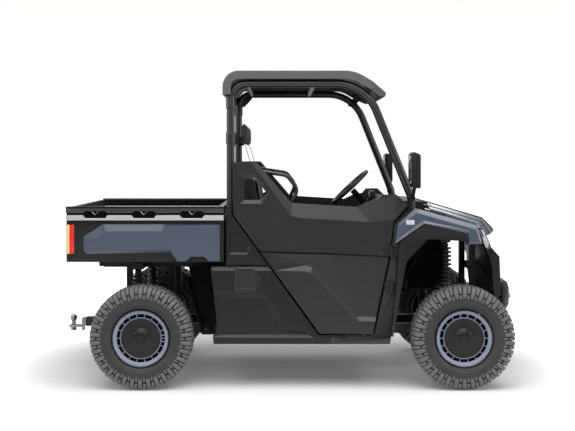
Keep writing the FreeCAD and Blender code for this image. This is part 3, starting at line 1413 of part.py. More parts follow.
bumper_box = (s.bumper_rear_x, s.bumper_length, s.bumper_low_z, s.bumper_height)
bumper_shares = (
    (0, 0.027), (0.689, 0), (1, 0.173), (1, 0.9), (0.525, 1), (0.213, 0.945), (0.213, 0.864),
    (0.525, 0.827), (0.639, 0.764), (0.639, 0.291), (0.525, 0.245), (0, 0.245),
)
derive("hook_z", s.bumper_low_z + s.bumper_height * 0.38)
bumper_bar = prism("bumper_bar", "XZ", spread(*bumper_box, bumper_shares), -s.bumper_half_width,
                   s.bumper_half_width + 0)
hook = across("tow_hook", s.front_x - s.hook_reach - s.bumper_wall / 2, s.front_x + 0, s.hook_width / 2,
              s.hook_z - s.hook_height / 2, s.hook_z + s.hook_height / 2)
hook_hole = rod("hook_hole", "Y", s.front_x - s.hook_hole_radius * 1.5, -s.hook_width, s.hook_z,
                s.hook_hole_radius, s.hook_width * 2)
node(cut("front_bumper", fuse("bumper_whole", [bumper_bar, hook]), [hook_hole]))

# Dashboard and cowl on the front deck
derive("dash_z", s.front_deck_z + s.seat_gap)
dash_shares = (
    (0, 0.098), (0.151, 0.849), (0.323, 0.999), (0.694, 0.967), (0.694, 0), (0.437, 0),
)
cowl_shares = (
    (0.666, 0.971), (1, 0.936), (1, 0), (0.666, 0),
)
dash_box = (s.dash_x, s.dash_length, s.dash_z, s.dash_height)
node(fuse("dashboard", [
    prism("dash_body", "XZ", spread(*dash_box, dash_shares), -s.dash_half_width, s.dash_half_width + 0),
    prism("cowl_body", "XZ", spread(*dash_box, cowl_shares), -s.cowl_half_width, s.cowl_half_width + 0),
] + ears))

# Steering wheel on its column
derive("steering_x", s.front_axle_x - s.steering_wheel_setback)
tilt = Rotation(Vector(0, 1, 0), -float(s.column_angle_deg))
down = tilt.multVec(Vector(0, 0, -1))
wheel_centre = (s.steering_x, s.driver_y, s.steering_wheel_z)


def along_column(distance):
    return tuple(c + distance * d for c, d in zip(wheel_centre, down))


column = strut("column_bar", along_column(s.steering_hub_height + s.seat_gap), along_column(s.column_length),
               s.column_radius)
node(cut("steering_column", column, [doc.getObject("dashboard")]))

rim_section_shares = tuple((math.cos(math.radians(a)), math.sin(math.radians(a))) for a in range(30, 390, 60))
wheel_parts = [
    turned("steering_ring", [(s.steering_rim_radius * v, s.steering_wheel_radius + s.steering_rim_radius * u)
                             for u, v in rim_section_shares], 28, "Z"),
    stub("steering_boss", "Z", Size(0), Size(0), -s.steering_hub_height, s.steering_hub_radius,
         s.steering_hub_height, 12),
]
spoke_shares = ((0.1, -0.5), (1, -0.5), (1, 0.5), (0.1, 0.5))
for number, angle in enumerate((90, 210, 330), 1):
    turn = Rotation(Vector(0, 0, 1), angle)
    a = turn.multVec(Vector(1, 0, 0))
    b = turn.multVec(Vector(0, 1, 0))
    corners = [(s.steering_wheel_radius * (u * a.x) + s.spoke_width * (v * b.x),
                s.steering_wheel_radius * (u * a.y) + s.spoke_width * (v * b.y)) for u, v in spoke_shares]
    wheel_parts.append(prism(f"spoke_{number}", "XY", corners, s.spoke_wall * -1, Size(0)))
steering = fuse("steering_wheel", wheel_parts)
settle(steering, s.steering_x, s.driver_y, s.steering_wheel_z, tilt)
node(steering)

# Pedals off the toe board
pedal_parts = []
for name, y in (("brake", s.driver_y + s.pedal_width * 0.8), ("power", s.driver_y - s.pedal_width * 0.8)):
    front = s.toe_x - s.toe_wall - s.seat_gap
    rear = front - s.pedal_reach
    pedal_parts.append(fuse(name + "_pedal", [
        box(name + "_plate", rear, rear + s.pedal_wall, y - s.pedal_width / 2, y + s.pedal_width / 2,
            s.pedal_low_z, s.pedal_low_z + s.pedal_height),
        box(name + "_arm", rear, front, y - s.pedal_arm_width / 2, y + s.pedal_arm_width / 2,
            s.pedal_low_z + s.pedal_height / 2, s.pedal_low_z + s.pedal_height / 2 + s.pedal_arm_width),
    ]))
node(group("pedals", pedal_parts))

# Seats: two cushions, two backs, three headrests
derive("back_x", s.pillar_x + s.seat_reach)
derive("cushion_z", s.battery_top_z + s.seat_gap)
derive("back_z", s.cushion_z + s.cushion_height + s.seat_gap)
derive("shoulder_bar_z", s.cage_top_z - s.shoulder_drop)
derive("back_height", s.shoulder_bar_z - s.back_clearance - s.back_z)
derive("headrest_low_z", s.shoulder_bar_z - s.headrest_drop)
cushion_shares = ((0, 0), (0, 1), (0.33, 1), (0.4, 0.93), (0.8, 1), (0.95, 0.98), (1, 0.8), (1, 0))
back_shares = (
    (0.447, 0), (1, 0), (0.689, 0.671), (0.542, 0.942), (0.411, 1), (0.158, 1), (0.042, 0.942),
    (0.211, 0.671),
)
half_gap = s.seat_gap_between / 2
cushion = skin("cushion", spread(s.back_x + s.back_length * 0.31, s.cushion_length, s.cushion_z, s.cushion_height,
                                 cushion_shares), half_gap, s.seat_half_width)
node(both("seat_cushions", cushion))
back = skin("seat_back", spread(s.back_x, s.back_length, s.back_z, s.back_height, back_shares), half_gap,
            s.seat_half_width)
node(both("seat_backs", back))
derive("headrest_x", s.pillar_x + s.headrest_setback)
rest_parts = []
for name, y in (("right", -s.driver_y), ("middle", Size(0)), ("left", s.driver_y + 0)):
    half = s.headrest_width / 2
    rest_parts.append(fuse(f"headrest_{name}", [
        box(f"headrest_pad_{name}", s.headrest_x + 0, s.headrest_x + s.headrest_wall, y - half, y + half,
            s.headrest_low_z, s.headrest_low_z + s.headrest_height),
        box(f"headrest_stay_{name}", s.pillar_x + s.crossbar_radius + s.seat_gap, s.headrest_x + 0,
            y - s.headrest_stem, y + s.headrest_stem, s.shoulder_bar_z - s.headrest_stem / 2,
            s.shoulder_bar_z + s.headrest_stem / 2),
    ]))
node(group("headrests", rest_parts))

# Roll cage: two side hoops, joined across
derive("roof_x", s.pillar_x - s.roof_reach)
derive("roof_length", s.hinge_x - s.nose_length * 0.272 + s.roof_nose - s.roof_x)
derive("roof_crown_z", s.cage_top_z + s.roof_lift)
derive("cage_foot_z", s.floor_top_z + s.cage_foot_gap)


def lean(z):
    """How far out the side hoop stands at a height."""
    return s.cage_foot_y + (s.cage_top_y - s.cage_foot_y) * ((z - s.cage_foot_z) / (s.cage_top_z - s.cage_foot_z))


nose_x = s.hinge_x
cage_places = (
    (s.pillar_x, s.cage_foot_z),
    (s.pillar_x, s.cage_top_z),
    (nose_x - s.nose_length * 0.272, s.cage_top_z),
    (nose_x + s.nose_length * 0.239, s.panel_low_z + s.nose_height * 1.079),
    (nose_x + s.nose_length * 0.245, s.panel_low_z + s.nose_height * 0.887),
    (nose_x - s.nose_length * 0.045, s.panel_low_z + s.nose_height * 0.302),
    (nose_x - s.nose_length * 0.056, s.cage_foot_z),
)
hoop = tube("cage_hoop", [(x, -lean(z), z) for x, z in cage_places],
            [s.cage_rear_bend, s.cage_front_bend, s.cage_cowl_bend, s.cage_cowl_bend, s.cage_cowl_bend],
            s.cage_radius, 12, 4)
bars = []
for name, x, z in (
    ("rear_top_bar", s.pillar_x + s.cage_rear_bend, s.cage_top_z),
    ("middle_top_bar", s.pillar_x + s.roof_length * 0.5, s.cage_top_z),
    ("shoulder_bar", s.pillar_x, s.shoulder_bar_z),
    ("lower_bar", s.pillar_x, s.back_z + s.back_height * 0.5),
):
    reach = lean(z)
    bars.append(stub(name, "Y", x, -reach, z, s.crossbar_radius, reach * 2))
node(fuse("roll_cage", [hoop, mirrored("cage_hoop_left", hoop)] + bars))

# Hip bars beside the seats, from the pillar down to the floor
hip_y = -lean(s.shoulder_bar_z)
hip_places = (
    (s.pillar_x + s.cage_radius + s.hip_bar_radius * 0.17, s.back_z + s.back_height * 1.08),
    (s.back_x + s.back_length * 1.66, s.back_z + s.back_height * 0.985),
    (s.back_x + s.back_length * 2.04, s.back_z + s.back_height * 0.81),
    (s.back_x + s.back_length * 1.55, s.back_z + s.back_height * 0.45),
    (s.back_x + s.back_length * 1.55, s.cage_foot_z),
)
hip = tube("hip_bar", [(x, hip_y, z) for x, z in hip_places],
           [s.hip_bar_bend, s.hip_bar_bend, s.hip_bar_bend], s.hip_bar_radius, 8, 4)
node(both("hip_bars", hip))

# Belts down the seat backs from the shoulder bar
belt_shares = (
    (-0.208, 1.449), (0.184, 1.352), (0.363, 1.146), (0.574, 0.946), (0.721, 0.673), (1.032, 0.005),
    (1.011, 0.005), (0.7, 0.671), (0.553, 0.944), (0.342, 1.146), (0.163, 1.348), (-0.208, 1.434),
)
node(both("seat_belts", skin("belt", spread(s.back_x, s.back_length, s.back_z, s.back_height, belt_shares),
                             s.belt_y, s.belt_y + s.belt_width)))

# Moulded roof, hollow underneath, seated on the top tubes by two ribs
derive("roof_low_z", s.roof_crown_z - s.roof_height)
roof_shares = (
    (0, 0), (0, 1), (0.791, 1), (1, 0.165), (0.993, 0),
)
roof_hollow_shares = (
    (0.011, -0.228), (0.011, 0.924), (0.788, 0.924), (0.98, 0.158), (0.973, -0.228),
)
roof_plan_shares = ((0, 1), (0.9, 1), (1, 0.66), (1, -0.66), (0.9, -1), (0, -1))


def roof_form(name, shares, half, rear_bend, front_bend, corners):
    maker = Maker(name)
    profile = maker.sketch("XZ")
    outline(profile, spread(s.roof_x, s.roof_length, s.roof_low_z, s.roof_height, shares))
    base = maker.pad(profile, half * 2, Midplane=True)
    for (u, v), bend in zip(corners, (rear_bend, front_bend)):
        x = s.roof_x + s.roof_length * u
        z = s.roof_low_z + s.roof_height * v
        base = maker.dress("Fillet", base, lambda e: edge_along(e, 1) and near(e.Vertexes[0].X, x)
                           and near(e.Vertexes[0].Z, z), bend, "Radius")
    return maker.body


outer_roof = roof_form("roof_outer", roof_shares, s.roof_half_width, s.roof_rear_bend, s.roof_front_bend,
                       roof_shares[1:3])
inner_roof = roof_form("roof_inner", roof_hollow_shares, s.roof_half_width - s.roof_wall,
                       s.roof_rear_bend - s.roof_wall, s.roof_front_bend - s.roof_wall, roof_hollow_shares[1:3])
band_shares = (
    (0.049, -0.291), (0.049, 0.658), (0.777, 0.658), (0.94, 0.013), (0.946, -0.291),
)
side_opening = roof_form("roof_side_opening", band_shares, s.roof_half_width + s.overrun,
                         s.roof_rear_bend - s.roof_side_band, s.roof_front_bend - s.roof_side_band, band_shares[1:3])
plan_points = [(s.roof_x + s.roof_length * u, s.roof_half_width * v) for u, v in roof_plan_shares]
inner_plan_points = [(s.roof_x + (s.roof_length - s.roof_wall) * u, (s.roof_half_width - s.roof_wall) * v)
                     for u, v in roof_plan_shares]
plan = prism("roof_plan", "XY", plan_points, s.roof_low_z - s.overrun, s.roof_crown_z + s.overrun)
inner_plan = prism("roof_inner_plan", "XY", inner_plan_points, s.roof_low_z - s.overrun * 3,
                   s.roof_crown_z + s.overrun)
rib_y = s.cage_top_y - s.roof_rib_width / 2
rib_start = s.pillar_x + s.cage_rear_bend
rib = right("roof_rib", rib_start, rib_start + s.roof_length * 0.58, rib_y, rib_y + s.roof_rib_width,
            s.cage_top_z + s.cage_radius + s.seat_gap, s.roof_crown_z - s.roof_wall)
node(fuse("roof_panel", [
    cut("roof_shell", common("roof_outer_form", outer_roof, plan), [common("roof_inner_form", inner_roof, inner_plan),
                                                                 side_opening]),
    rib, mirrored("roof_rib_left", rib),
]))

# Side mirrors on brackets at the foot of the windscreen tubes
mirror_box = (s.hinge_x + s.mirror_x_reach - s.mirror_wall / 3, s.mirror_wall * 1.4, s.mirror_low_z, s.mirror_height)
mirror_shares = ((0.28, 0), (1, 0), (1, 0.92), (0.3, 1), (0, 0.1))
bracket_z = s.mirror_low_z - s.mirror_arm_radius * 5
bracket_x = s.hinge_x + s.nose_length * 0.239
bracket_y = lean(bracket_z) + s.cage_radius + s.seat_gap * 2
mirror_parts = [
    skin("mirror_head", spread(*mirror_box, mirror_shares), s.mirror_inner_y, s.mirror_inner_y + s.mirror_width),
    right("mirror_foot", bracket_x - s.mirror_arm_radius, bracket_x + s.mirror_arm_radius, bracket_y,
          bracket_y + s.mirror_arm_radius * 2, bracket_z - s.mirror_arm_radius, bracket_z + s.mirror_arm_radius),
    strut("mirror_arm", (bracket_x, -bracket_y - s.mirror_arm_radius, bracket_z),
          (bracket_x, -s.mirror_inner_y - s.mirror_width / 3, s.mirror_low_z + s.mirror_arm_radius * 2),
          s.mirror_arm_radius * 0.9),
]
node(both("side_mirrors", fuse("side_mirror", mirror_parts)))

# Cargo bed: tub, runners and hinge lugs
derive("bed_wall_top_z", s.bed_low_z + s.bed_height - s.bed_rail_height)
derive("bed_floor_top_z", s.bed_low_z + s.bed_floor_wall)
derive("post_inner_y", s.bed_half_width - s.bed_post_width)
derive("tailgate_hinge_x", s.bed_rear_x + s.tailgate_barrel_radius + s.bed_pin_radius * 0.3)
derive("tailgate_hinge_z", s.bed_low_z + s.bed_floor_wall)
gate_room_x = s.tailgate_hinge_x + s.tailgate_barrel_radius + s.seam
wall_inner_y = s.bed_half_width - s.bed_wall
tub_side = [
    right("bed_side", s.bed_rear_x, s.bed_front_x, wall_inner_y, s.bed_half_width, s.bed_low_z, s.bed_wall_top_z),
    right("bed_post", s.bed_rear_x, s.bed_rear_x + s.bed_post_length, s.post_inner_y, s.bed_half_width,
          s.bed_low_z, s.bed_wall_top_z),
    right("bed_runner", s.rail_rear_x + s.seam, s.bed_front_x, s.rail_inner_y, s.rail_outer_y,
          s.rear_deck_z + s.bed_runner_gap, s.bed_low_z),
    rod("bed_lug", "Y", s.bed_hinge_x, -s.rail_outer_y, s.bed_hinge_z, s.bed_lug_radius,
        s.rail_width - s.seat_gap),
    right("bed_lug_web", s.bed_hinge_x - s.bed_lug_radius, s.bed_hinge_x + s.bed_lug_radius,
          s.rail_inner_y + s.seat_gap, s.rail_outer_y, s.bed_hinge_z, s.bed_low_z),
    rod("tailgate_pin", "Y", s.tailgate_hinge_x, -s.post_inner_y - s.tailgate_gap, s.tailgate_hinge_z,
        s.tailgate_pin_radius, s.tailgate_pin_length + s.tailgate_gap),
]
tub_right = fuse("tub_right", tub_side)
tub = fuse("tub", [
    tub_right,
    mirrored("tub_left", tub_right),
    across("bed_floor", gate_room_x, s.bed_front_x + 0, s.bed_half_width, s.bed_low_z, s.bed_floor_top_z),
    across("bed_front_wall", s.bed_front_x - s.bed_wall, s.bed_front_x + 0, s.bed_half_width, s.bed_low_z,
           s.bed_wall_top_z),
])
lug_bore = rod("lug_bore", "Y", s.bed_hinge_x, -s.rail_outer_y - s.overrun, s.bed_hinge_z,
               s.bed_pin_radius + s.running_gap, (s.rail_outer_y + s.overrun) * 2)
node(cut("cargo_bed", tub, [lug_bore]))

# Bed rails with tie-down slots in their outer faces
rail_low_z = s.bed_wall_top_z + s.seat_gap
rail_high_z = s.bed_low_z + s.bed_height
rail_outer = s.bed_rail_inner_y + s.bed_rail_wall
rail_box = right("bed_rail_bar", s.bed_rear_x, s.bed_front_x, s.bed_rail_inner_y, rail_outer, rail_low_z,
                 rail_high_z)
slot_centre_shares = (0.1856, 0.494, 0.8)
hexagon_shares = ((-0.5, 0.0), (-0.4, 0.5), (0.4, 0.5), (0.5, 0.0), (0.4, -0.5), (-0.4, -0.5))
slots = [right("rail_groove", s.bed_rear_x - s.overrun, s.bed_front_x + s.overrun, rail_outer - s.slot_depth * 0.4,
               rail_outer + s.overrun, s.bed_low_z + s.bed_height * 0.846, s.bed_low_z + s.bed_height * 0.885)]
for number, share in enumerate(slot_centre_shares, 1):
    centre = s.bed_rear_x + s.bed_length * share
    middle = s.bed_low_z + s.bed_height * 0.855
    slots.append(skin(f"tie_slot_{number}", [(centre + s.slot_length * u, middle + s.slot_height * v)
                                              for u, v in hexagon_shares], rail_outer - s.slot_depth,
                      rail_outer + s.overrun))
rail_right = cut("bed_rail_right", rail_box, slots)
node(fuse("bed_rails", [
    rail_right,
    mirrored("bed_rail_left", rail_right),
    across("bed_rail_front", s.bed_front_x - s.bed_rail_wall, s.bed_front_x + 0, s.bed_rail_inner_y + 0, rail_low_z,
           rail_high_z),
]))

# Painted panels and tail lamps on the bed's sides
bed_box = (s.bed_rear_x, s.bed_length, s.bed_low_z, s.bed_height)
bed_panel_shares = (
    (0.109, 0.459), (0.232, 0.679), (0.975, 0.679), (0.975, 0.016), (0.906, 0.016), (0.875, 0.102),
    (0.792, 0.102), (0.761, 0.016), (0.706, 0.016), (0.657, 0.179), (0.132, 0.146), (0.109, 0.201),
)
skin_y = s.bed_half_width + s.seat_gap
node(both("bed_side_panels", skin("bed_panel", spread(*bed_box, bed_panel_shares), skin_y,
                                  skin_y + s.bed_skin_wall)))
lamp_x = s.bed_rear_x + s.lamp_rear_inset
lamp_z = s.bed_low_z + s.tail_lamp_low
node(both("tail_lamps", right("tail_lamp", lamp_x, lamp_x + s.tail_lamp_length, skin_y, skin_y + s.tail_lamp_wall,
                              lamp_z, lamp_z + s.tail_lamp_height)))

# Tailgate between the corner posts
derive("gate_half", s.post_inner_y - s.tailgate_gap)
gate_bottom = s.tailgate_hinge_z + s.tailgate_barrel_radius + s.bed_pin_radius * 0.3
gate = fuse("tailgate_whole", [
    across("gate_slab", s.bed_rear_x + 0, s.bed_rear_x + s.tailgate_wall, s.gate_half, gate_bottom,
           rail_high_z - s.seam),
    rod("gate_barrel", "Y", s.tailgate_hinge_x, -s.gate_half, s.tailgate_hinge_z, s.tailgate_barrel_radius,
        s.gate_half * 2),
    across("gate_web", s.tailgate_hinge_x - s.tailgate_barrel_radius, s.tailgate_hinge_x + s.tailgate_barrel_radius,
           s.gate_half, s.tailgate_hinge_z, gate_bottom),
])
gate_bore = rod("gate_bore", "Y", s.tailgate_hinge_x, -s.gate_half - s.overrun, s.tailgate_hinge_z,
                s.tailgate_pin_radius + s.running_gap, (s.gate_half + s.overrun) * 2)
node(cut("tailgate", gate, [gate_bore]))

doc.recompute()
problems = []
for thing in doc.Objects:
    if "Invalid" in thing.State or "Error" in thing.State:
        problems.append(f"{thing.Name}: {thing.State}")
for made in NODES:
    if made.Shape.isNull() or not made.Shape.isValid() or not made.Shape.Solids:
        problems.append(f"{made.Name}: its shape is not valid")
if problems:
    raise RuntimeError("; ".join(problems))
os.makedirs("parts", exist_ok=True)
for made in NODES:
    made.Shape.exportStep(f"parts/{made.Label}.step")
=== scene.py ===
import json
import math

import bmesh
import bpy
from mathutils import Matrix, Vector, geometry


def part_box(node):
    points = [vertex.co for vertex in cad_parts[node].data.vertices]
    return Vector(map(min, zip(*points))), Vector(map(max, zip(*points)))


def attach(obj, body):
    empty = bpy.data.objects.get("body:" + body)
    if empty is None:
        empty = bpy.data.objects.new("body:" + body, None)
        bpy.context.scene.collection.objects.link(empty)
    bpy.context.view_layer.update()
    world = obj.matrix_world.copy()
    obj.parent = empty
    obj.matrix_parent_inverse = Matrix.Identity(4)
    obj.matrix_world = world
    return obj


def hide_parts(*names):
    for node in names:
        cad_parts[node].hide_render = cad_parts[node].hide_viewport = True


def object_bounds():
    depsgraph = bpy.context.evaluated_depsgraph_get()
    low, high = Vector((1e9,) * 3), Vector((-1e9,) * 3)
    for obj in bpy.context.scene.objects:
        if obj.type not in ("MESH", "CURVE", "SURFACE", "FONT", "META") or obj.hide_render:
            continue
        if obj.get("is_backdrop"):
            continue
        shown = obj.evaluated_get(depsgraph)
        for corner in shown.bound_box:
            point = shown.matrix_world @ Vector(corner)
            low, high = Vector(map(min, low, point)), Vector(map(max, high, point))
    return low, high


# A side by side utility vehicle in satin charcoal and slate. X forward, Y to the driver's side, Z up, in metres.

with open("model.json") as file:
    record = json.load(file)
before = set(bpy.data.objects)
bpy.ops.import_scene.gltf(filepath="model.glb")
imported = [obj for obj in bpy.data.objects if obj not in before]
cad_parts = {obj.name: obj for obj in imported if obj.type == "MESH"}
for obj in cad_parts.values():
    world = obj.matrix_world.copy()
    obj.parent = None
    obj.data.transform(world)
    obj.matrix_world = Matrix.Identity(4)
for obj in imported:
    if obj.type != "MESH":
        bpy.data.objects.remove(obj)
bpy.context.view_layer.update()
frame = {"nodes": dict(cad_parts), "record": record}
NODES = frame["nodes"]
BODY_OF = {node: body for body, nodes in frame["record"]["behaviour"]["bodies"].items() for node in nodes}


# ---- Node trees ----

def new_tree(name, kind, inputs, outputs):
    """A named node group with its input and output sockets: (label, kind of value, start value)."""
    tree = bpy.data.node_groups.new(name, kind)
    for way, sockets in (("INPUT", inputs), ("OUTPUT", outputs)):
        for label, sort, *value in sockets:
            socket = tree.interface.new_socket(label, in_out=way, socket_type="NodeSocket" + sort)
            if value:
                socket.default_value = value[0]
    return tree, tree.nodes.new("NodeGroupInput"), tree.nodes.new("NodeGroupOutput")


def add_node(tree, kind, inputs=None, **settings):
    """A node with its settings made and its inputs set or linked."""
    made = tree.nodes.new(kind)
    for name, value in settings.items():
        setattr(made, name, value)
    for socket, value in (inputs or {}).items():
        if hasattr(value, "is_output"):
            tree.links.new(value, made.inputs[socket])
        else:
            made.inputs[socket].default_value = value
    return made


def math_node(tree, operation, *values):
    return add_node(tree, "ShaderNodeMath", dict(enumerate(values)), operation=operation).outputs[0]


def noise_node(tree, vector, scale, detail=2.0, rough=0.5):
    return add_node(tree, "ShaderNodeTexNoise", {"Vector": vector, "Scale": scale, "Detail": detail,
                                                 "Roughness": rough}).outputs["Fac"]


def build_grain():
    """Leathery mould grain: rounded cells with fine speckle between them."""
    tree, start, end = new_tree(
        "mould_grain", "ShaderNodeTree", (("Place", "Vector"), ("Cell size", "Float", 900.0),
                                          ("Speckle", "Float", 0.4)), (("Height", "Float"), ("Shade", "Float")))
    place, size = start.outputs["Place"], start.outputs["Cell size"]
    cells = add_node(tree, "ShaderNodeTexVoronoi", {"Vector": place, "Scale": size}, feature="SMOOTH_F1")
    fine = noise_node(tree, place, math_node(tree, "MULTIPLY", size, 2.3), 3.0)
    wide = noise_node(tree, place, 3.5, 3.0, 0.6)
    speckle = math_node(tree, "MULTIPLY", fine, start.outputs["Speckle"])
    tree.links.new(math_node(tree, "ADD", cells.outputs["Distance"], speckle), end.inputs["Height"])
    tree.links.new(math_node(tree, "MULTIPLY_ADD", wide, 0.35, 0.825), end.inputs["Shade"])
    return tree


def build_dust():
    """Dry dust that settles low on the vehicle and in patches."""
    tree, start, end = new_tree(
        "road_dust", "ShaderNodeTree", (("Place", "Vector"), ("Full below", "Float", 0.1),
                                        ("Clear above", "Float", 0.9), ("Amount", "Float", 0.3)), (("Mask", "Float"),))
    split = add_node(tree, "ShaderNodeSeparateXYZ", {0: start.outputs["Place"]})
    spread = add_node(tree, "ShaderNodeMapRange", {
        "Value": split.outputs["Z"], "From Min": start.outputs["Full below"],
        "From Max": start.outputs["Clear above"], "To Min": 1.0, "To Max": 0.0})
    patches = math_node(tree, "MULTIPLY_ADD", noise_node(tree, start.outputs["Place"], 14.0, 6.0, 0.65), 1.6, -0.35)
    mask = math_node(tree, "MULTIPLY", spread.outputs["Result"], patches)
    mask = math_node(tree, "MULTIPLY", mask, start.outputs["Amount"])
    tree.links.new(add_node(tree, "ShaderNodeClamp", {"Value": mask}).outputs[0], end.inputs["Mask"])
    return tree


def build_wear_and_highlight():
    """Rubbed edges made paler, from how sharply the surface turns there: real wear and a painted edge highlight
    together.
    """
    tree, start, end = new_tree(
        "rubbed_and_highlit_edges", "ShaderNodeTree", (("Place", "Vector"), ("Turn", "Float", 0.5), ("Amount", "Float", 0.3)),
        (("Mask", "Float"),))
    rise = add_node(tree, "ShaderNodeMapRange", {"Value": start.outputs["Turn"], "From Min": 0.53, "From Max": 0.62})
    broken = noise_node(tree, start.outputs["Place"], 60.0, 4.0, 0.7)
    mask = math_node(tree, "MULTIPLY", rise.outputs["Result"], broken)
    tree.links.new(math_node(tree, "MULTIPLY", mask, start.outputs["Amount"]), end.inputs["Mask"])
    return tree


GRAIN = build_grain()
DUST = build_dust()
WEAR_AND_HIGHLIGHT = build_wear_and_highlight()


def colour(code):
    """A linear colour from a paint chart's hex code."""
    parts = [int(code[i:i + 2], 16) / 255 for i in (1, 3, 5)]
    return [*(p / 12.92 if p <= 0.04045 else ((p + 0.055) / 1.055) ** 2.4 for p in parts), 1.0]


class Finish:
    """A material under construction: Principled shader, object coordinates, and what feeds its colour."""

    def __init__(self, name, base, rough, metal=0.0, coat=0.0, coat_rough=0.1, specular=0.5):
        self.material = bpy.data.materials.new(name)
        self.material.use_nodes = True
        self.tree = self.material.node_tree
        self.shader = self.tree.nodes["Principled BSDF"]
        self.place = self.tree.nodes.new("ShaderNodeTexCoord").outputs["Object"]
        self.base = self.tint = colour(base)
        self.rough = rough
        self.plain({"Base Color": self.base, "Roughness": rough, "Metallic": metal, "Coat Weight": coat,
                    "Coat Roughness": coat_rough, "Specular IOR Level": specular})

    def plain(self, values):
        """Set values that are the same all over on the shader's own sockets."""
        for label, value in values.items():
            self.shader.inputs[label].default_value = value
        return self

    def group(self, tree, **values):
        inputs = {label.replace("_", " "): value for label, value in values.items()}
        return add_node(self.tree, "ShaderNodeGroup", {"Place": self.place, **inputs}, node_tree=tree)

    def mix(self, mask, shade):
        """Lay another colour over the present one where the mask is up."""
        made = add_node(self.tree, "ShaderNodeMix", data_type="RGBA")
        for label, value in (("A", self.tint), ("B", shade), ("Factor", mask)):
            if hasattr(value, "is_output"):
                self.tree.links.new(value, made.inputs[label])
            else:
                made.inputs[label].default_value = value
        self.tint = made.outputs["Result"]
        self.tree.links.new(self.tint, self.shader.inputs["Base Color"])
        return self

    def raised(self, height, strength, reach):
        """A fine relief in the surface."""
        bump = add_node(self.tree, "ShaderNodeBump", {"Height": height, "Strength": strength, "Distance": reach})
        self.tree.links.new(bump.outputs[0], self.shader.inputs["Normal"])

    def grain(self, cell=900.0, depth=0.25, reach=0.0004, vary=0.5, speckle=0.4):
        """Mould grain in the surface, with a slow change of shade."""
        grain = self.group(GRAIN, Cell_size=cell, Speckle=speckle)
        self.raised(grain.outputs["Height"], depth, reach)
        darker = [c * (1 - 0.45 * vary) for c in self.base[:3]] + [1.0]
        self.mix(math_node(self.tree, "SUBTRACT", 1.12, grain.outputs["Shade"]), darker)
        rough = math_node(self.tree, "MULTIPLY", grain.outputs["Shade"], self.rough)
        self.tree.links.new(rough, self.shader.inputs["Roughness"])
        return self

    def dusty(self, amount=0.3, low=0.05, high=0.9):
        dust = self.group(DUST, Full_below=low, Clear_above=high, Amount=amount)
        return self.mix(dust.outputs["Mask"], colour("#8f8779"))

    def worn_and_highlit(self, amount=0.3, shade="#7c7d7e"):
        # Paler sharp edges: partly real rubbing, partly a painted edge highlight.
        turn = self.tree.nodes.new("ShaderNodeNewGeometry").outputs["Pointiness"]
        return self.mix(self.group(WEAR_AND_HIGHLIGHT, Amount=amount, Turn=turn).outputs["Mask"], colour(shade))


# ---- Finishes ----

charcoal = Finish("charcoal_moulding", "#1a1c1c", 0.33).grain(1100, 0.2).worn_and_highlit(0.35).dusty(0.05, 0.25, 0.75).material
rocker_black = Finish("rocker_moulding", "#121313", 0.34, specular=0.4).grain(1100, 0.2).worn_and_highlit(0.35).material
flare_black = Finish("flare_moulding", "#141515", 0.34, specular=0.28).grain(1100, 0.2).worn_and_highlit(0.3).dusty(
    0.05, 0.3, 0.9).material
slate = Finish("slate_paint", "#434c5c", 0.32, coat=0.9, coat_rough=0.2).grain(2600, 0.05, 0.0002, 0.25).worn_and_highlit(
    0.2, "#8e95a5").material
roof_grey = Finish("roof_moulding", "#535455", 0.62).grain(1300, 0.3, 0.0004, 0.3).material
tube_black = Finish("tube_enamel", "#1b1c1e", 0.3, coat=0.5, coat_rough=0.16).grain(2200, 0.12, 0.0002, 0.3).worn_and_highlit(
    0.25, "#5b5d60").material
frame_black = Finish("frame_enamel", "#131415", 0.4, specular=0.35).grain(1500, 0.2, 0.0003).worn_and_highlit(
    0.3, "#4b4c4e").dusty(0.3, 0.1, 0.7).material
black_plastic = Finish("black_moulding", "#161717", 0.55, specular=0.25).grain(1300, 0.3).dusty(0.2, 0.2, 0.8).material
# A darker, duller copy of the black moulding for parts deep inside or behind others: painted shade, with real dust on
# it.
shade_black = Finish("inner_moulding_painted_shade", "#0a0b0b", 0.7, specular=0.08).grain(1000, 0.3, 0.0005).dusty(
    0.06, 0.2, 0.8).material
bed_black = Finish("bed_moulding", "#0f1010", 0.36, specular=0.18).grain(1000, 0.2).worn_and_highlit(0.3).material
rail_metal = Finish("rail_extrusion", "#c6c7c9", 0.4, metal=0.45).grain(3000, 0.08, 0.0002, 0.2).material
rail_dark = Finish("rail_cap", "#323435", 0.42, specular=0.35).grain(1500, 0.2, 0.0003, 0.3).worn_and_highlit(
    0.3, "#8a8c8e").material
cast_metal = Finish("cast_case", "#6f7173", 0.5, metal=0.7).grain(700, 0.5, 0.001, 0.4).dusty(0.4, 0.2, 0.6).material
dark_steel = Finish("dark_steel", "#4a4b4d", 0.4, metal=0.8).grain(2500, 0.1, 0.0002, 0.3).material
steel = Finish("bright_steel", "#9b9da0", 0.28, metal=0.95).grain(2500, 0.08, 0.0002, 0.3).material
spring_steel = Finish("spring_enamel", "#17181a", 0.3, coat=0.4).grain(2500, 0.08, 0.0002, 0.3).dusty(
    0.25, 0.2, 0.9).material
brass_fitting = Finish("brass_fitting", "#a3814a", 0.35, metal=0.8).grain(2500, 0.1, 0.0002, 0.4).material
boot_rubber = Finish("boot_rubber", "#161616", 0.75).grain(1800).dusty(0.3, 0.1, 0.6).material
tyre_rubber = Finish("tyre_rubber", "#383939", 0.7, specular=0.25).grain(1500, 0.3, 0.0005, 0.6).dusty(
    0.18, 0.0, 0.7).material
tread_rubber = Finish("tread_rubber", "#68696a", 0.6, specular=0.35).grain(1200, 0.4, 0.0006, 0.7).dusty(
    0.3, 0.0, 0.75).material
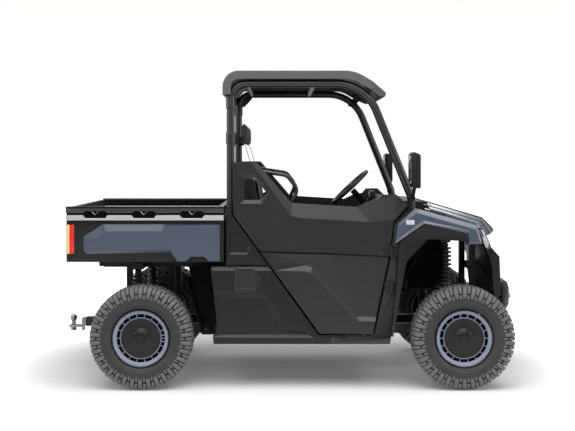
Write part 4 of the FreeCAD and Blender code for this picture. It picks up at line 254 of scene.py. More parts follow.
headrest_vinyl = Finish("headrest_vinyl", "#1c1d1e", 0.5).grain(520, 0.4, 0.0006).material
seat_vinyl = Finish("seat_vinyl", "#202123", 0.48).grain(520, 0.45, 0.0007, 0.4).material
grip = Finish("wheel_grip", "#1a1a1b", 0.5).grain(800, 0.4, 0.0005).worn_and_highlit(0.2).material
red_lens = Finish("red_lens", "#c4170f", 0.16, coat=0.8, coat_rough=0.03).grain(300, 0.25, 0.001).plain(
    {"Emission Color": colour("#ff2a12"), "Emission Strength": 0.25}).material
amber_lens = Finish("amber_edge", "#ffb36b", 0.2, coat=0.6).grain(300, 0.2, 0.001, 0.3).plain(
    {"Emission Color": colour("#ffc080"), "Emission Strength": 0.5}).material
reflector = Finish("lamp_reflector", "#c9ccd0", 0.12, metal=0.95).grain(400, 0.1, 0.0005, 0.2).material
lamp_white = Finish("lamp_bowl", "#e6e9ec", 0.25, coat=0.5).grain(300, 0.1, 0.0005, 0.2).material
plate_pale = Finish("blank_plate", "#c9d3d8", 0.35).grain(2500, 0.05, 0.0002, 0.1).material
mirror_glass = Finish("mirror_glass", "#d5d8dc", 0.03, metal=1.0).grain(3000, 0.02, 0.0001, 0.1).material
screen_glass = Finish("screen_glass", "#0b0d10", 0.08, coat=0.8).grain(3000, 0.02, 0.0001, 0.1).material


def make_glass():
    """Clear lens plastic, faintly clouded."""
    made = Finish("lamp_lens", "#e8eef2", 0.05, specular=0.6).plain({"Transmission Weight": 0.92, "IOR": 1.45})
    made.raised(made.group(GRAIN, Cell_size=260.0, Speckle=0.2).outputs["Height"], 0.1, 0.0005)
    return made.material


def make_webbing():
    """Woven belt: fine ribs along its length, crossed by the weft."""
    made = Finish("belt_webbing", "#151617", 0.7).plain({"Sheen Weight": 0.3})
    wave = add_node(made.tree, "ShaderNodeTexWave", {"Vector": made.place, "Scale": 260.0, "Distortion": 1.5})
    made.raised(wave.outputs["Fac"], 0.6, 0.0008)
    return made.mix(wave.outputs["Fac"], colour("#2c2d2f")).material


def make_rim(name, centre):
    """Cast rim: dark dish, pale ring outside the windows and a pale line inside them, by distance from the hub."""
    made = Finish(name, "#131416", 0.36, coat=0.2, coat_rough=0.2, specular=0.3).grain(1600, 0.1, 0.0002, 0.3)
    split = add_node(made.tree, "ShaderNodeSeparateXYZ", {0: made.place})
    squares = []
    for label, middle in zip("XZ", centre):
        off = math_node(made.tree, "SUBTRACT", split.outputs[label], middle)
        squares.append(math_node(made.tree, "MULTIPLY", off, off))
    radius = math_node(made.tree, "SQRT", math_node(made.tree, "ADD", *squares))
    ramp = add_node(made.tree, "ShaderNodeValToRGB", {0: math_node(made.tree, "DIVIDE", radius, 0.2)})
    stops = ((0.0, 0.0), (0.1288, 0.0), (0.1298, 0.8), (0.1345, 0.8), (0.136, 0.65), (0.156, 0.65),
             (0.157, 1.0), (0.1785, 1.0), (0.18, 0.0))
    elements = ramp.color_ramp.elements
    while len(elements) < len(stops):
        elements.new(0.5)
    for element, (place, value) in zip(elements, stops):
        element.position = place / 0.2
        element.color = (value, value, value, 1.0)
    return made.mix(ramp.outputs[0], colour("#8d93a8")).material


lens_glass = make_glass()
belt_webbing = make_webbing()


# ---- Mesh helpers ----

MIRROR = Matrix.Scale(-1, 4, Vector((0, 1, 0)))


def keep(name, mesh, material, body, stands_for=()):
    """Finish a piece: material, shading, body, material slot and the nodes that it stands for."""
    mesh.name = name
    made = bpy.data.objects.new(name, mesh)
    bpy.context.scene.collection.objects.link(made)
    mesh.materials.clear()
    mesh.materials.append(material)
    mesh.shade_smooth()
    mesh.set_sharp_from_angle(angle=math.radians(38))
    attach(made, body)
    if stands_for:
        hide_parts(*stands_for)
    return made


def even_faces(made):
    """Large faces shade flat, with the turn kept in the rounded creases."""
    even = made.modifiers.new("even", "WEIGHTED_NORMAL")
    even.keep_sharp = True
    even.weight = 60


def new_mesh(build, *values):
    """A mesh from a function that fills a bmesh."""
    work = bmesh.new()
    build(work, *values)
    bmesh.ops.remove_doubles(work, verts=work.verts, dist=1e-5)
    bmesh.ops.recalc_face_normals(work, faces=work.faces)
    mesh = bpy.data.meshes.new("piece")
    work.to_mesh(mesh)
    work.free()
    return mesh


def skin(work, rings, capped=True):
    """Faces between rings of points, one after the other, with a face on each end."""
    count = len(rings[0])
    for near, far in zip(rings, rings[1:]):
        for k in range(count):
            after = (k + 1) % count
            work.faces.new([near[k], near[after], far[after], far[k]])
    if capped:
        work.faces.new(list(reversed(rings[0])))
        work.faces.new(rings[-1])


def lathe(work, profile, centre, steps=96, axis="Y"):
    """Turn a closed profile of (radius, offset) round an axis through the centre."""
    rings = []
    for step in range(steps):
        turn = math.tau * step / steps
        c, s = math.cos(turn), math.sin(turn)
        ring = []
        for radius, offset in profile:
            place = {"Y": (radius * c, offset, radius * s), "Z": (radius * c, radius * s, offset),
                     "X": (offset, radius * c, radius * s)}[axis]
            ring.append(work.verts.new(Vector(centre) + Vector(place)))
        rings.append(ring)
    on_axis = [radius < 1e-6 for radius, _ in profile]
    for near, far in zip(rings, rings[1:] + rings[:1]):
        for k in range(len(profile)):
            after = (k + 1) % len(profile)
            if on_axis[k] and on_axis[after]:
                continue
            if on_axis[k]:
                corners = [near[k], near[after], far[after]]
            elif on_axis[after]:
                corners = [near[k], near[after], far[k]]
            else:
                corners = [near[k], near[after], far[after], far[k]]
            work.faces.new(corners)


def turned(profile, centre=(0, 0, 0), steps=96, axis="Y"):
    return new_mesh(lathe, profile, centre, steps, axis)


def prism(work, outline, low, high):
    """A plate: a closed outline in X and Z, between two values of Y."""
    first, second = [[work.verts.new((x, y, z)) for x, z in outline] for y in (low, high)]
    skin(work, [first, second], False)
    work.faces.new(first)
    work.faces.new(list(reversed(second)))


def soften(mesh, width, segments=2, angle=30.0):
    """Round a mesh's edges."""
    work = bmesh.new()
    work.from_mesh(mesh)
    bmesh.ops.dissolve_limit(work, angle_limit=math.radians(1.0), verts=work.verts, edges=work.edges)
    sharp = [e for e in work.edges if len(e.link_faces) == 2 and e.calc_face_angle(0) > math.radians(angle)]
    bmesh.ops.bevel(work, geom=sharp, offset=width, segments=segments, profile=0.5, affect="EDGES",
                    clamp_overlap=True)
    work.to_mesh(mesh)
    work.free()
    return mesh


def plate(outline, low, high, ease=0.0, segments=1, angle=20.0, unit=1.0):
    """A plate with eased edges, from an outline of (x, z)."""
    made = new_mesh(prism, [(x * unit, z * unit) for x, z in outline], low * unit, high * unit)
    return soften(made, ease, segments, angle) if ease else made


def closed_box(x0, x1, y0, y1, z0, z1, ease=0.002):
    """A block in mm with eased edges."""
    return plate([(x0, z0), (x1, z0), (x1, z1), (x0, z1)], y0, y1, ease, 2, unit=0.001)


def hull_block(work, corners):
    """A closed block round the given corners."""
    bmesh.ops.convex_hull(work, input=[work.verts.new(c) for c in corners], use_existing_faces=False)


def join(meshes):
    """One mesh out of several."""
    work = bmesh.new()
    for mesh in meshes:
        work.from_mesh(mesh)
    joined = bpy.data.meshes.new("joined")
    work.to_mesh(joined)
    work.free()
    return joined


def placed(mesh, matrix):
    made = mesh.copy()
    made.transform(matrix)
    return made


def moved(mesh, *offset):
    return placed(mesh, Matrix.Translation(offset))


def turned_about(mesh, axis, degrees):
    return placed(mesh, Matrix.Rotation(math.radians(degrees), 4, axis))


def mirrored(mesh):
    """A mesh's mirror image across the vehicle's middle."""
    twin = placed(mesh, MIRROR)
    twin.flip_normals()
    return twin


def both_sides(*meshes):
    """Meshes together with their mirror images."""
    mesh = join(meshes) if len(meshes) > 1 else meshes[0]
    return join([mesh, mirrored(mesh)])


def smooth_path(points, steps=10):
    """A smooth line through a few points, as points of a Catmull-Rom curve."""
    points = [Vector(p) for p in points]
    ends = [points[0] * 2 - points[1]] + points + [points[-1] * 2 - points[-2]]
    line = []
    for index in range(1, len(ends) - 2):
        a, b, c, d = ends[index - 1:index + 3]
        for step in range(steps):
            t = step / steps
            line.append(0.5 * ((2 * b) + (c - a) * t + (2 * a - 5 * b + 4 * c - d) * t * t
                               + (3 * b - a - 3 * c + d) * t ** 3))
    line.append(points[-1])
    return line


def pipe(work, line, radius, sides=16, capped=True):
    """A round bar along a line."""
    line = [Vector(p) for p in line]
    normal = None
    rings = []
    for index, here in enumerate(line):
        along = (line[min(index + 1, len(line) - 1)] - line[max(index - 1, 0)]).normalized()
        if normal is None:
            normal = along.orthogonal().normalized()
        normal = (normal - along * normal.dot(along)).normalized()
        side = along.cross(normal)
        rings.append([work.verts.new(here + (normal * math.cos(math.tau * k / sides)
                                             + side * math.sin(math.tau * k / sides)) * radius)
                      for k in range(sides)])
    skin(work, rings, capped)


def bar(line, radius, sides=16, capped=True):
    return new_mesh(pipe, line, radius, sides, capped)


def strap(work, line, width, wall):
    """A flat band along a line, lying across the vehicle."""
    line = [Vector(p) for p in line]
    across = Vector((0, 1, 0))
    rings = []
    for index, here in enumerate(line):
        along = (line[min(index + 1, len(line) - 1)] - line[max(index - 1, 0)]).normalized()
        side = (across - along * across.dot(along)).normalized()
        half, thick = side * width / 2, along.cross(side) * wall / 2
        rings.append([work.verts.new(here + p) for p in (half + thick, -half + thick, -half - thick, half - thick)])
    skin(work, rings)


def loft(work, sections):
    """A closed body through sections with the same number of corners, capped at both ends."""
    skin(work, [[work.verts.new(p) for p in section] for section in sections])


# ---- Geometry nodes: rings, rows and coils of like things ----

def geometry_tree(name, *inputs):
    return new_tree(name, "GeometryNodeTree", (("Geometry", "Geometry"), *inputs, ("Material", "Material")),
                    (("Geometry", "Geometry"),))


def close_tree(tree, start, end, geometry):
    """Realize Instances, then Set Material."""
    real = add_node(tree, "GeometryNodeRealizeInstances", {"Geometry": geometry})
    paint = add_node(tree, "GeometryNodeSetMaterial", {"Geometry": real.outputs["Geometry"],
                                                       "Material": start.outputs["Material"]})
    tree.links.new(paint.outputs["Geometry"], end.inputs["Geometry"])
    return tree


def build_ring():
    """Copies turned about an axis through the centre."""
    tree, start, end = geometry_tree("ring_of", ("Count", "Int", 12), ("Centre", "Vector"), ("Turn", "Vector"),
                                     ("Phase", "Float", 0.0))
    points = add_node(tree, "GeometryNodePoints", {"Count": start.outputs["Count"],
                                                   "Position": start.outputs["Centre"]})
    index = tree.nodes.new("GeometryNodeInputIndex").outputs[0]
    share = math_node(tree, "DIVIDE", math_node(tree, "ADD", index, start.outputs["Phase"]), start.outputs["Count"])
    turn = add_node(tree, "ShaderNodeVectorMath", {0: start.outputs["Turn"]}, operation="SCALE")
    tree.links.new(share, turn.inputs["Scale"])
    copies = add_node(tree, "GeometryNodeInstanceOnPoints", {
        "Points": points.outputs[0], "Instance": start.outputs["Geometry"], "Rotation": turn.outputs[0]})
    return close_tree(tree, start, end, copies.outputs["Instances"])


def build_row():
    """Copies along a straight line, one step apart."""
    tree, start, end = geometry_tree("row_of", ("Count", "Int", 5), ("Step", "Vector"))
    line = add_node(tree, "GeometryNodeMeshLine", {"Count": start.outputs["Count"], "Offset": start.outputs["Step"]},
                    mode="OFFSET")
    copies = add_node(tree, "GeometryNodeInstanceOnPoints", {
        "Points": line.outputs[0], "Instance": start.outputs["Geometry"]})
    return close_tree(tree, start, end, copies.outputs["Instances"])


def build_coil():
    """A round wire wound in a spiral, standing on its own Z axis."""
    tree, start, end = geometry_tree("coil_of", ("Turns", "Float", 7.0), ("Radius", "Float", 0.03),
                                     ("Height", "Float", 0.2), ("Wire", "Float", 0.005))
    size = start.outputs
    spiral = add_node(tree, "GeometryNodeCurveSpiral", {
        "Resolution": 28, "Rotations": size["Turns"], "Start Radius": size["Radius"], "End Radius": size["Radius"],
        "Height": size["Height"]})
    section = add_node(tree, "GeometryNodeCurvePrimitiveCircle", {"Resolution": 10, "Radius": size["Wire"]})
    sweep = add_node(tree, "GeometryNodeCurveToMesh", {
        "Curve": spiral.outputs[0], "Profile Curve": section.outputs[0], "Fill Caps": True})
    return close_tree(tree, start, end, sweep.outputs[0])


RING = build_ring()
ROW = build_row()
COIL = build_coil()


def plain_mesh(holder):
    """What an object's modifiers make of it, as plain data."""
    graph = bpy.context.evaluated_depsgraph_get()
    return bpy.data.meshes.new_from_object(holder.evaluated_get(graph), depsgraph=graph)


def grown(tree, mesh, material, **values):
    """The mesh that a geometry tree makes of a mesh."""
    holder = bpy.data.objects.new("holder", mesh if mesh is not None else bpy.data.meshes.new("empty"))
    bpy.context.scene.collection.objects.link(holder)
    modifier = holder.modifiers.new("repeat", "NODES")
    modifier.node_group = tree
    values["Material"] = material
    for item in tree.interface.items_tree:
        if item.item_type == "SOCKET" and item.in_out == "INPUT" and item.name in values:
            modifier[item.identifier] = values[item.name]
    holder.update_tag()
    made = plain_mesh(holder)
    holder.modifiers.remove(modifier)
    bpy.data.objects.remove(holder, do_unlink=True)
    made.shade_smooth()
    return made


def ring_of(mesh, material, count, centre, phase=0.0):
    return grown(RING, mesh, material, Count=count, Centre=centre, Turn=(0, math.tau, 0), Phase=phase)


def row_of(mesh, material, count, step):
    return grown(ROW, mesh, material, Count=count, Step=step)


def bolt(radius, height, side=-1):
    """A flanged hexagon bolt head standing out along Y."""
    head, flange = [[(r * math.cos(math.tau * k / n), r * math.sin(math.tau * k / n)) for k in range(n)]
                    for r, n in ((radius, 6), (radius * 1.35, 18))]

    def build(work):
        prism(work, flange, 0.0, side * height * 0.3)
        prism(work, head, side * height * 0.25, side * height)
    return soften(new_mesh(build), radius * 0.08, 1, 40)


# ---- Camera ----

lens_data = bpy.data.cameras.new("camera")
camera = bpy.data.objects.new("camera", lens_data)
bpy.context.scene.collection.objects.link(camera)
bpy.context.scene.camera = camera
SENSOR_MM, FOCAL_PIXELS, PHOTO_PIXELS = 36.0, 1052, 575
lens_data.sensor_width = SENSOR_MM
lens_data.lens = SENSOR_MM * FOCAL_PIXELS / PHOTO_PIXELS
lens_data.shift_x = 0.0078
lens_data.shift_y = -0.1
camera.location = (-0.052, -7.6, 1.508)
camera.rotation_euler = (math.radians(90), 0, 0)


# ---- Finishes and eased edges on the vehicle's own parts ----

rim_finishes = {}
for corner in ("front_right", "front_left", "rear_right", "rear_left"):
    low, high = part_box("rim_" + corner)
    rim_finishes[corner] = make_rim("rim_finish_" + corner, ((low.x + high.x) / 2, (low.z + high.z) / 2))

PLAIN = {
    charcoal: (("charge_flap", 0.0022), ("door_left", 0.007), ("door_right", 0.007), ("side_panels", 0.005)),
    slate: (("bed_side_panels", 0.003), ("front_fenders", 0.006), ("hood", 0.006)),
    flare_black: (("arch_flares", 0.006), ("front_fascia", 0.006)),
    black_plastic: (("dashboard", 0.008), ("side_mirrors", 0.008)),
    # The darkened inner finish paints shade on these parts.
    shade_black: (("battery_pack", 0.006), ("cab_floor", 0.003), ("pedals", 0.002), ("steering_column", 0.002),
                  ("wheel_liners", 0.003)),
    bed_black: (("cargo_bed", 0.004), ("tailgate", 0.004)),
    frame_black: (("chassis_frame", 0.003), ("rear_subframe", 0.003), ("front_subframe", 0.003),
                  ("drive_shafts", 0.002), ("front_bumper", 0.006), ("skid_plate", 0.002),
                  ("suspension_arms", 0.0015), ("tie_rods", 0.0)),
    cast_metal: (("drive_units", 0.012), ("knuckle_front_left", 0.003), ("knuckle_front_right", 0.003),
                 ("rack_case", 0.004), ("rear_knuckles", 0.003)),
    steel: (("coilovers", 0.0015), ("tow_ball_mount", 0.002)),
    tube_black: (("hip_bars", 0.0), ("roll_cage", 0.0)),
    seat_vinyl: (("seat_backs", 0.02), ("seat_cushions", 0.02)),
    tyre_rubber: tuple(("tyre_" + corner, 0.0) for corner in rim_finishes),
    rail_metal: (("bed_rails", 0.0015),), lens_glass: (("headlamps", 0.006),), roof_grey: (("roof_panel", 0.008),),
    headrest_vinyl: (("headrests", 0.01),), belt_webbing: (("seat_belts", 0.0005),),
    grip: (("steering_wheel", 0.001),), red_lens: (("tail_lamps", 0.003),),
    **{finish: (("rim_" + corner, 0.0012),) for corner, finish in rim_finishes.items()},
}


def ease(name, material, width):
    """Give a node its finish and, for a moulding or casting, rounded edges over its own faces."""
    thing = NODES[name]
    thing.data.materials.clear()
    thing.data.materials.append(material)
    if width <= 0:
        thing.data.shade_smooth()
        return
    for label, kind, settings in (
            ("weld", "WELD", {"merge_threshold": 2e-5}),
            ("flat", "DECIMATE", {"decimate_type": "DISSOLVE", "angle_limit": math.radians(0.7)}),
            ("eased", "BEVEL", {"width": width, "segments": 2, "limit_method": "ANGLE",
                                "angle_limit": math.radians(24), "use_clamp_overlap": True}),
            ("even", "WEIGHTED_NORMAL", {"keep_sharp": False})):
        modifier = thing.modifiers.new(label, kind)
        for setting, value in settings.items():
            setattr(modifier, setting, value)


for material, parts in PLAIN.items():
    for name, width in parts:
        ease(name, material, width)


# ---- Tyres: a smooth carcass with two rows of shoulder lugs and centre blocks ----

LUG_PITCHES = 34
CARCASS_STEPS = 4 * LUG_PITCHES
BLOCK_TOP, BLOCK_FOOT = 0.3354, 0.312


def tyre_carcass(work, centre, half):
    side = [(0.188, half - 0.026), (0.195, half - 0.013), (0.205, half - 0.007), (0.218, half - 0.0045),
            (0.223, half - 0.0022), (0.227, half - 0.0022), (0.231, half - 0.0045), (0.248, half - 0.004),
            (0.264, half - 0.006), (0.282, half - 0.013), (0.298, half - 0.024), (0.31, half - 0.042),
            (0.316, half * 0.6), (0.3185, half * 0.3)]
    inside_wall = [(0.3, half * 0.55), (0.285, half - 0.032), (0.24, half - 0.02), (0.2, half - 0.03),
                   (0.188, half - 0.04)]
    profile = side + [(0.319, 0.0)] + [(r, -o) for r, o in reversed(side)]
    profile += [(r, -o) for r, o in reversed(inside_wall)] + [(0.303, 0.0)] + inside_wall
    lathe(work, profile, centre, CARCASS_STEPS)


def swept_block(work, outline, widths, lean):
    """A tread block at the top of the tyre on its low Y side: an outline of (offset, radius) with half widths."""
    skin(work, [[work.verts.new((sign * wide + lean(offset), offset, radius))
                 for (offset, radius), wide in zip(outline, widths)] for sign in (-1, 1)])


def long_lug(work, half):
    """A lug that comes down over the shoulder."""
    swept_block(work, [(-half + 0.004, 0.262), (-half + 0.0006, 0.276), (-half + 0.0016, 0.299),
                       (-half + 0.01, 0.3205), (-half + 0.03, 0.3325), (-half * 0.5, 0.336),
                       (-half * 0.53, 0.312), (-half + 0.046, 0.306), (-half + 0.028, 0.29),
                       (-half + 0.015, 0.268)],
                [0.0105, 0.0115, 0.013, 0.013, 0.0125, 0.01, 0.0125, 0.016, 0.016, 0.0125],
                lambda y: 0.01 * (y + half) / half)


def short_lug(work, half):
    """A lug that stops high on the shoulder, set back from the long ones."""
    swept_block(work, [(-half + 0.0105, 0.291), (-half + 0.006, 0.301), (-half + 0.012, 0.318),
                       (-half + 0.033, 0.3315), (-half * 0.6, 0.3358), (-half * 0.63, 0.312),
                       (-half + 0.048, 0.3065), (-half + 0.026, 0.295)],
                [0.0085, 0.0095, 0.0105, 0.0105, 0.0085, 0.011, 0.0135, 0.0115],
                lambda y: 0.01 * (y + half) / half)


def side_biter(work, half):
    """A small raised block on the side wall between the lugs."""
    swept_block(work, [(-half + 0.006, 0.256), (-half + 0.0022, 0.2585), (-half + 0.0042, 0.28),
                       (-half + 0.01, 0.285), (-half + 0.021, 0.28), (-half + 0.012, 0.256)],
                [0.006, 0.0075, 0.006, 0.0045, 0.006, 0.0075], lambda y: 0.0)


def centre_block(work, half, side):
    """A skewed block beside the tread's middle."""
    low, high = side * half * 0.05, side * half * 0.42
    top = [(-0.013, low), (0.012, low), (0.019, high), (-0.004, high)]
    base = [(-0.017, low - side * 0.003), (0.016, low - side * 0.003), (0.023, high + side * 0.004),
            (-0.008, high + side * 0.004)]
    hull_block(work, [(x, y, BLOCK_TOP) for x, y in top] + [(x, y, BLOCK_FOOT) for x, y in base])


def tyre(corner):
    """A tyre's carcass and its lugs and blocks, in turned copies of one of each kind."""
    node = "tyre_" + corner
    low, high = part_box(node)
    centre = (low + high) / 2
    half = (high.y - low.y) / 2
    keep(corner + "_tyre_wall", new_mesh(tyre_carcass, centre, half), tyre_rubber, BODY_OF[node],
         (node,))
    blocks = []
    for form, phase in ((long_lug, 0.0), (short_lug, 0.5), (side_biter, 0.5)):
        for side in (-1, 1):
            one = soften(new_mesh(form, half), 0.0016, 1, 30)
            if side > 0:
                one = mirrored(one)
            blocks.append(ring_of(one, tread_rubber, LUG_PITCHES, centre, phase + (0.25 if side > 0 else 0.0)))
    for side in (-1, 1):
        block = soften(new_mesh(centre_block, half, side), 0.002, 1, 30)
        blocks.append(ring_of(block, tread_rubber, LUG_PITCHES, centre, 0.25 if side < 0 else 0.75))
    even_faces(keep(corner + "_tread_blocks", join(blocks), tread_rubber, BODY_OF[node]))


for corner in rim_finishes:
    tyre(corner)


# ---- Pressed panels: outlines with creases, each point with its depth below the outer face ----

def inside(x, z, loop):
    """Whether a point lies within a closed loop of (x, z, ...)."""
    held = False
    for first, second in zip(loop, loop[1:] + loop[:1]):
        if (first[1] > z) != (second[1] > z):
            cross = first[0] + (z - first[1]) * (second[0] - first[0]) / (second[1] - first[1])
            held ^= x < cross
    return held


def pressed(work, outline, creases, holes, face_y, back_y):
    """A moulded panel facing -Y. Outline, creases and holes are (x, z, depth) in mm; the back is flat."""
    points, depths, edges = [], [], []
    for line, closed in [(outline, True)] + [(hole, True) for hole in holes] + creases:
        start = len(points)
        points += [Vector((x / 1000, z / 1000)) for x, z, _ in line]
        depths += [depth / 1000 for _, _, depth in line]
        edges += [(k, k + 1) for k in range(start, len(points) - 1)]
        if closed:
            edges.append((len(points) - 1, start))
    places, _, faces, origin, _, _ = geometry.delaunay_2d_cdt(points, edges, [], 0, 1e-5)
    ring, *gaps = [[(x / 1000, z / 1000) for x, z, _ in loop] for loop in [outline] + holes]
    kept = []
    for face in faces:
        x = sum(places[k][0] for k in face) / len(face)
        z = sum(places[k][1] for k in face) / len(face)
        if inside(x, z, ring) and not any(inside(x, z, gap) for gap in gaps):
            kept.append(face)
    made, rim = {}, {}

    def corner(index, near):
        if (index, near) not in made:
            depth = min(depths[k] for k in origin[index]) if origin[index] else 0.0
            x, z = places[index]
            made[index, near] = work.verts.new((x, face_y + depth if near else back_y, z))
        return made[index, near]

    for face in kept:
        work.faces.new([corner(k, True) for k in face])
        work.faces.new([corner(k, False) for k in reversed(face)])
        for first, second in zip(face, list(face[1:]) + [face[0]]):
            rim[(first, second)] = True
    for first, second in rim:
        if (second, first) not in rim:
            work.faces.new([corner(second, True), corner(first, True), corner(first, False), corner(second, False)])
    bmesh.ops.recalc_face_normals(work, faces=work.faces)
    bmesh.ops.dissolve_limit(work, angle_limit=math.radians(0.8), verts=work.verts, edges=work.edges)


def panel(outline, lines, loops, holes, face, back, ease=0.002):
    """A pressed panel with every crease rounded. Lines are open creases and loops are closed ones."""
    creases = [(line, False) for line in lines] + [(loop, True) for loop in loops]
    return soften(new_mesh(pressed, outline, creases, holes, -face / 1000, -back / 1000), ease, 2, 4.0)


# Doors: a bright sill band along the top, a groove across, and a ridge that steps down towards the front
door_edge = [(-376, 1482, 5), (-262, 1482, 3), (-228, 1481, 20), (2, 1215, 28), (92, 1207, 30), (258, 1196, 30),
             (429, 1187, 29), (503, 1222, 31), (573, 1235, 31), (600, 1268, 33), (691, 1270, 33), (766, 1200, 26),
             (682, 1108, 2), (670, 1095, 2), (643, 859, 11), (554, 444, 7), (538, 356, 6), (188, 361, 6),
             (-376, 1139, 5)]
sill_band = [(-262, 1482, 3), (-56, 1201, 0), (4, 1126, 0), (79, 1115, 0), (319, 1096, 0), (520, 1090, 0),
             (682, 1108, 2)]
window_edge = [(-306, 1375, 12), (-238, 1380, 12), (-158, 1278, 12), (-201, 1234, 12), (-304, 1234, 12)]
window_dish = [(-337, 1400, 1), (-228, 1404, 1), (-136, 1275, 1), (-190, 1209, 1), (-334, 1209, 1)]
groove_top = [(-205, 904, 0), (-118, 897, 0), (244, 889, 0), (640, 868, 4)]
groove_deep = [(-201, 898, 9), (-118, 891, 10), (244, 883, 10), (639, 862, 12)]
groove_low = [(-197, 891, 1), (-118, 884, 1), (244, 876, 1), (638, 855, 6)]
ridge_high = [(-145, 812, 20), (94, 806, 23), (141, 791, 23), (439, 471, 23), (556, 466, 20)]
ridge_low = [(-106, 772, 0), (94, 769, 0), (126, 756, 0), (415, 456, 0), (444, 443, 0), (550, 441, 4)]
lower_edge = [(-355, 1135, 0), (-205, 920, 0)]
skirt = [(-94, 766, 0), (196, 373, 0), (533, 369, 1)]
door_lines = [sill_band, groove_top, groove_deep, groove_low, ridge_high, ridge_low, lower_edge, skirt]


def door_pull():
    """The loop handle inside the door."""
    return bar(smooth_path([(0.33, -0.69, 1.118), (0.345, -0.668, 1.122), (0.4, -0.66, 1.124),
                            (0.47, -0.66, 1.12), (0.525, -0.668, 1.114), (0.54, -0.69, 1.11)], 6), 0.009, 14)


def door_inside(work):
    """The inner trim: a raised field with a pocket."""
    pressed(work, [(-330, 1120, 0), (-300, 1160, 0), (0, 1160, 0), (60, 1150, 0), (480, 1130, 0), (590, 1060, 0),
                   (575, 900, 0), (500, 420, 0), (215, 415, 0)],
            [([(-40, 1010, 0), (440, 1000, 0), (500, 940, 0), (455, 640, 0), (180, 640, 0), (-60, 960, 0)], True),
             ([(-32, 1002, 3), (437, 992, 3), (492, 936, 3), (449, 648, 3), (184, 648, 3), (-51, 958, 3)], True)],
            [], 0.0, 0.004)


def door_body():
    """The outer skin and the inner trim, which faces the cab."""
    trim = mirrored(soften(new_mesh(door_inside), 0.002, 2, 8.0))
    return join([panel(door_edge, door_lines, [window_dish], [window_edge], 736, 702, 0.0022),
                 moved(trim, 0, -0.6985, 0)])


def door_hinges():
    """Straps and barrels at the door's front edge."""
    parts = []
    for low in (640, 876):
        parts.append(closed_box(611, 655, -751, -740, low + 1, low + 55, 0.003))
        parts.append(closed_box(609, 630, -742, -726, low, low + 56, 0.003))
        foot, top = (low + 0.4) / 1000, (low + 55.6) / 1000
        parts.append(turned([(0.0062, foot), (0.012, foot), (0.012, top), (0.0062, top)], (0.65504, -0.752, 0), 28,
                            "Z"))
        parts += [moved(bolt(0.006, 0.004), 0.627, -0.7515, z / 1000) for z in (low + 14, low + 42)]
    return join(parts)


right_door = (door_body(), door_pull(), door_hinges())
for side_name, meshes in (("right", right_door), ("left", [mirrored(mesh) for mesh in right_door])):
    door = "door_" + side_name
    even_faces(keep(side_name + "_door_skin", meshes[0], charcoal, door, (door,)))
    keep(side_name + "_door_pull", meshes[1], black_plastic, door)
    keep(side_name + "_door_hinges", meshes[2], frame_black, door)


# Side panels: a shoulder ledge over the charge flap, a small framed recess, and the rocker with its step
panel_edge = [(-424, 1191, 14), (-389, 1191, 14), (-389, 1139, 14), (-218, 902, 14), (-147, 802, 14),
              (-125, 772, 3), (155, 385, 3), (178, 350, 3), (540, 347, 5), (655, 345, 5), (644, 292, 9),
              (-505, 292, 9), (-511, 343, 5), (-482, 395, 5), (-505, 628, 5), (-523, 769, 3), (-523, 797, 24),
              (-424, 797, 24)]
ledge_high = [(-424, 801, 24), (-160, 801, 24)]
ledge_step = [(-424, 809, 14), (-163, 809, 14)]
ledge_low = [(-523, 769, 3), (-506, 773, 0), (-140, 773, 0), (-125, 772, 3)]
quarter_frame = [(-408, 1024, 10), (-334, 1024, 10), (-262, 930, 10), (-282, 878, 10), (-404, 878, 10)]
quarter_dish = [(-400, 1014, 20), (-339, 1014, 20), (-273, 929, 20), (-289, 889, 20), (-396, 889, 20)]
rocker_rim = [(-489, 640, 1), (-179, 622, 0), (-152, 604, 0), (-40, 413, 0), (-16, 392, 0), (120, 386, 0)]
rocker_dish = [(-478, 598, 18), (-194, 586, 18), (-172, 572, 18), (-64, 392, 18), (-40, 368, 18), (110, 360, 14),
               (118, 352, 12), (-468, 352, 16), (-462, 396, 18)]
rocker_low = [(-504, 336, 2), (150, 334, 2), (640, 330, 3)]
side_skin = panel(panel_edge, [ledge_low, ledge_high, ledge_step, rocker_rim, rocker_low],
                  [quarter_frame, quarter_dish, rocker_dish], [], 736, 701)
steps = [closed_box(x, x + 34, -733, -704, 346, 352, 0.0015) for x in (352, 408, 464, 520, 576)]
tread_edge = [(262, 294), (646, 294), (650, 326), (618, 334), (600, 326), (540, 326), (520, 336), (380, 336),
              (360, 326), (330, 326), (310, 334), (262, 334)]
keep("step_pads", both_sides(plate(tread_edge, -739.5, -728, 0.0012, 1, 30, 0.001)), rocker_black, "chassis")
even_faces(keep("side_moulding", both_sides(side_skin, *steps), rocker_black, "chassis",
                ("side_panels",)))
flap_edge = [(-363, 780, 4), (-349, 794, 4), (-249, 794, 4), (-196, 719, 4), (-232, 632, 4), (-363, 632, 4)]
flap_field = [(-356, 777, 0), (-346, 787, 0), (-253, 787, 0), (-204, 718, 0), (-237, 639, 0), (-356, 639, 0)]
flap_dish_out = [(-342, 758, 0), (-263, 758, 0), (-229, 712, 0), (-253, 657, 0), (-342, 657, 0)]
flap_dish = [(-338, 754, 2), (-265, 754, 2), (-234, 711, 2), (-256, 661, 2), (-338, 661, 2)]
flap_skin = panel(flap_edge, [], [flap_field, flap_dish_out, flap_dish], [], 744.3, 736.4, 0.0012)
flap_barrel = turned([(0.0, 0.633), (0.0043, 0.633), (0.0043, 0.793), (0.0, 0.793)], (-0.363, -0.7406, 0), 20, "Z")
even_faces(keep("charge_flap_skin", join([flap_skin, flap_barrel]), charcoal, "charge_flap",
                ("charge_flap",)))


# ---- Tube cage as true round bars ----

HOOP_X, HOOP_FOOT, HOOP_TOP = -0.399, 0.3676, 2.003


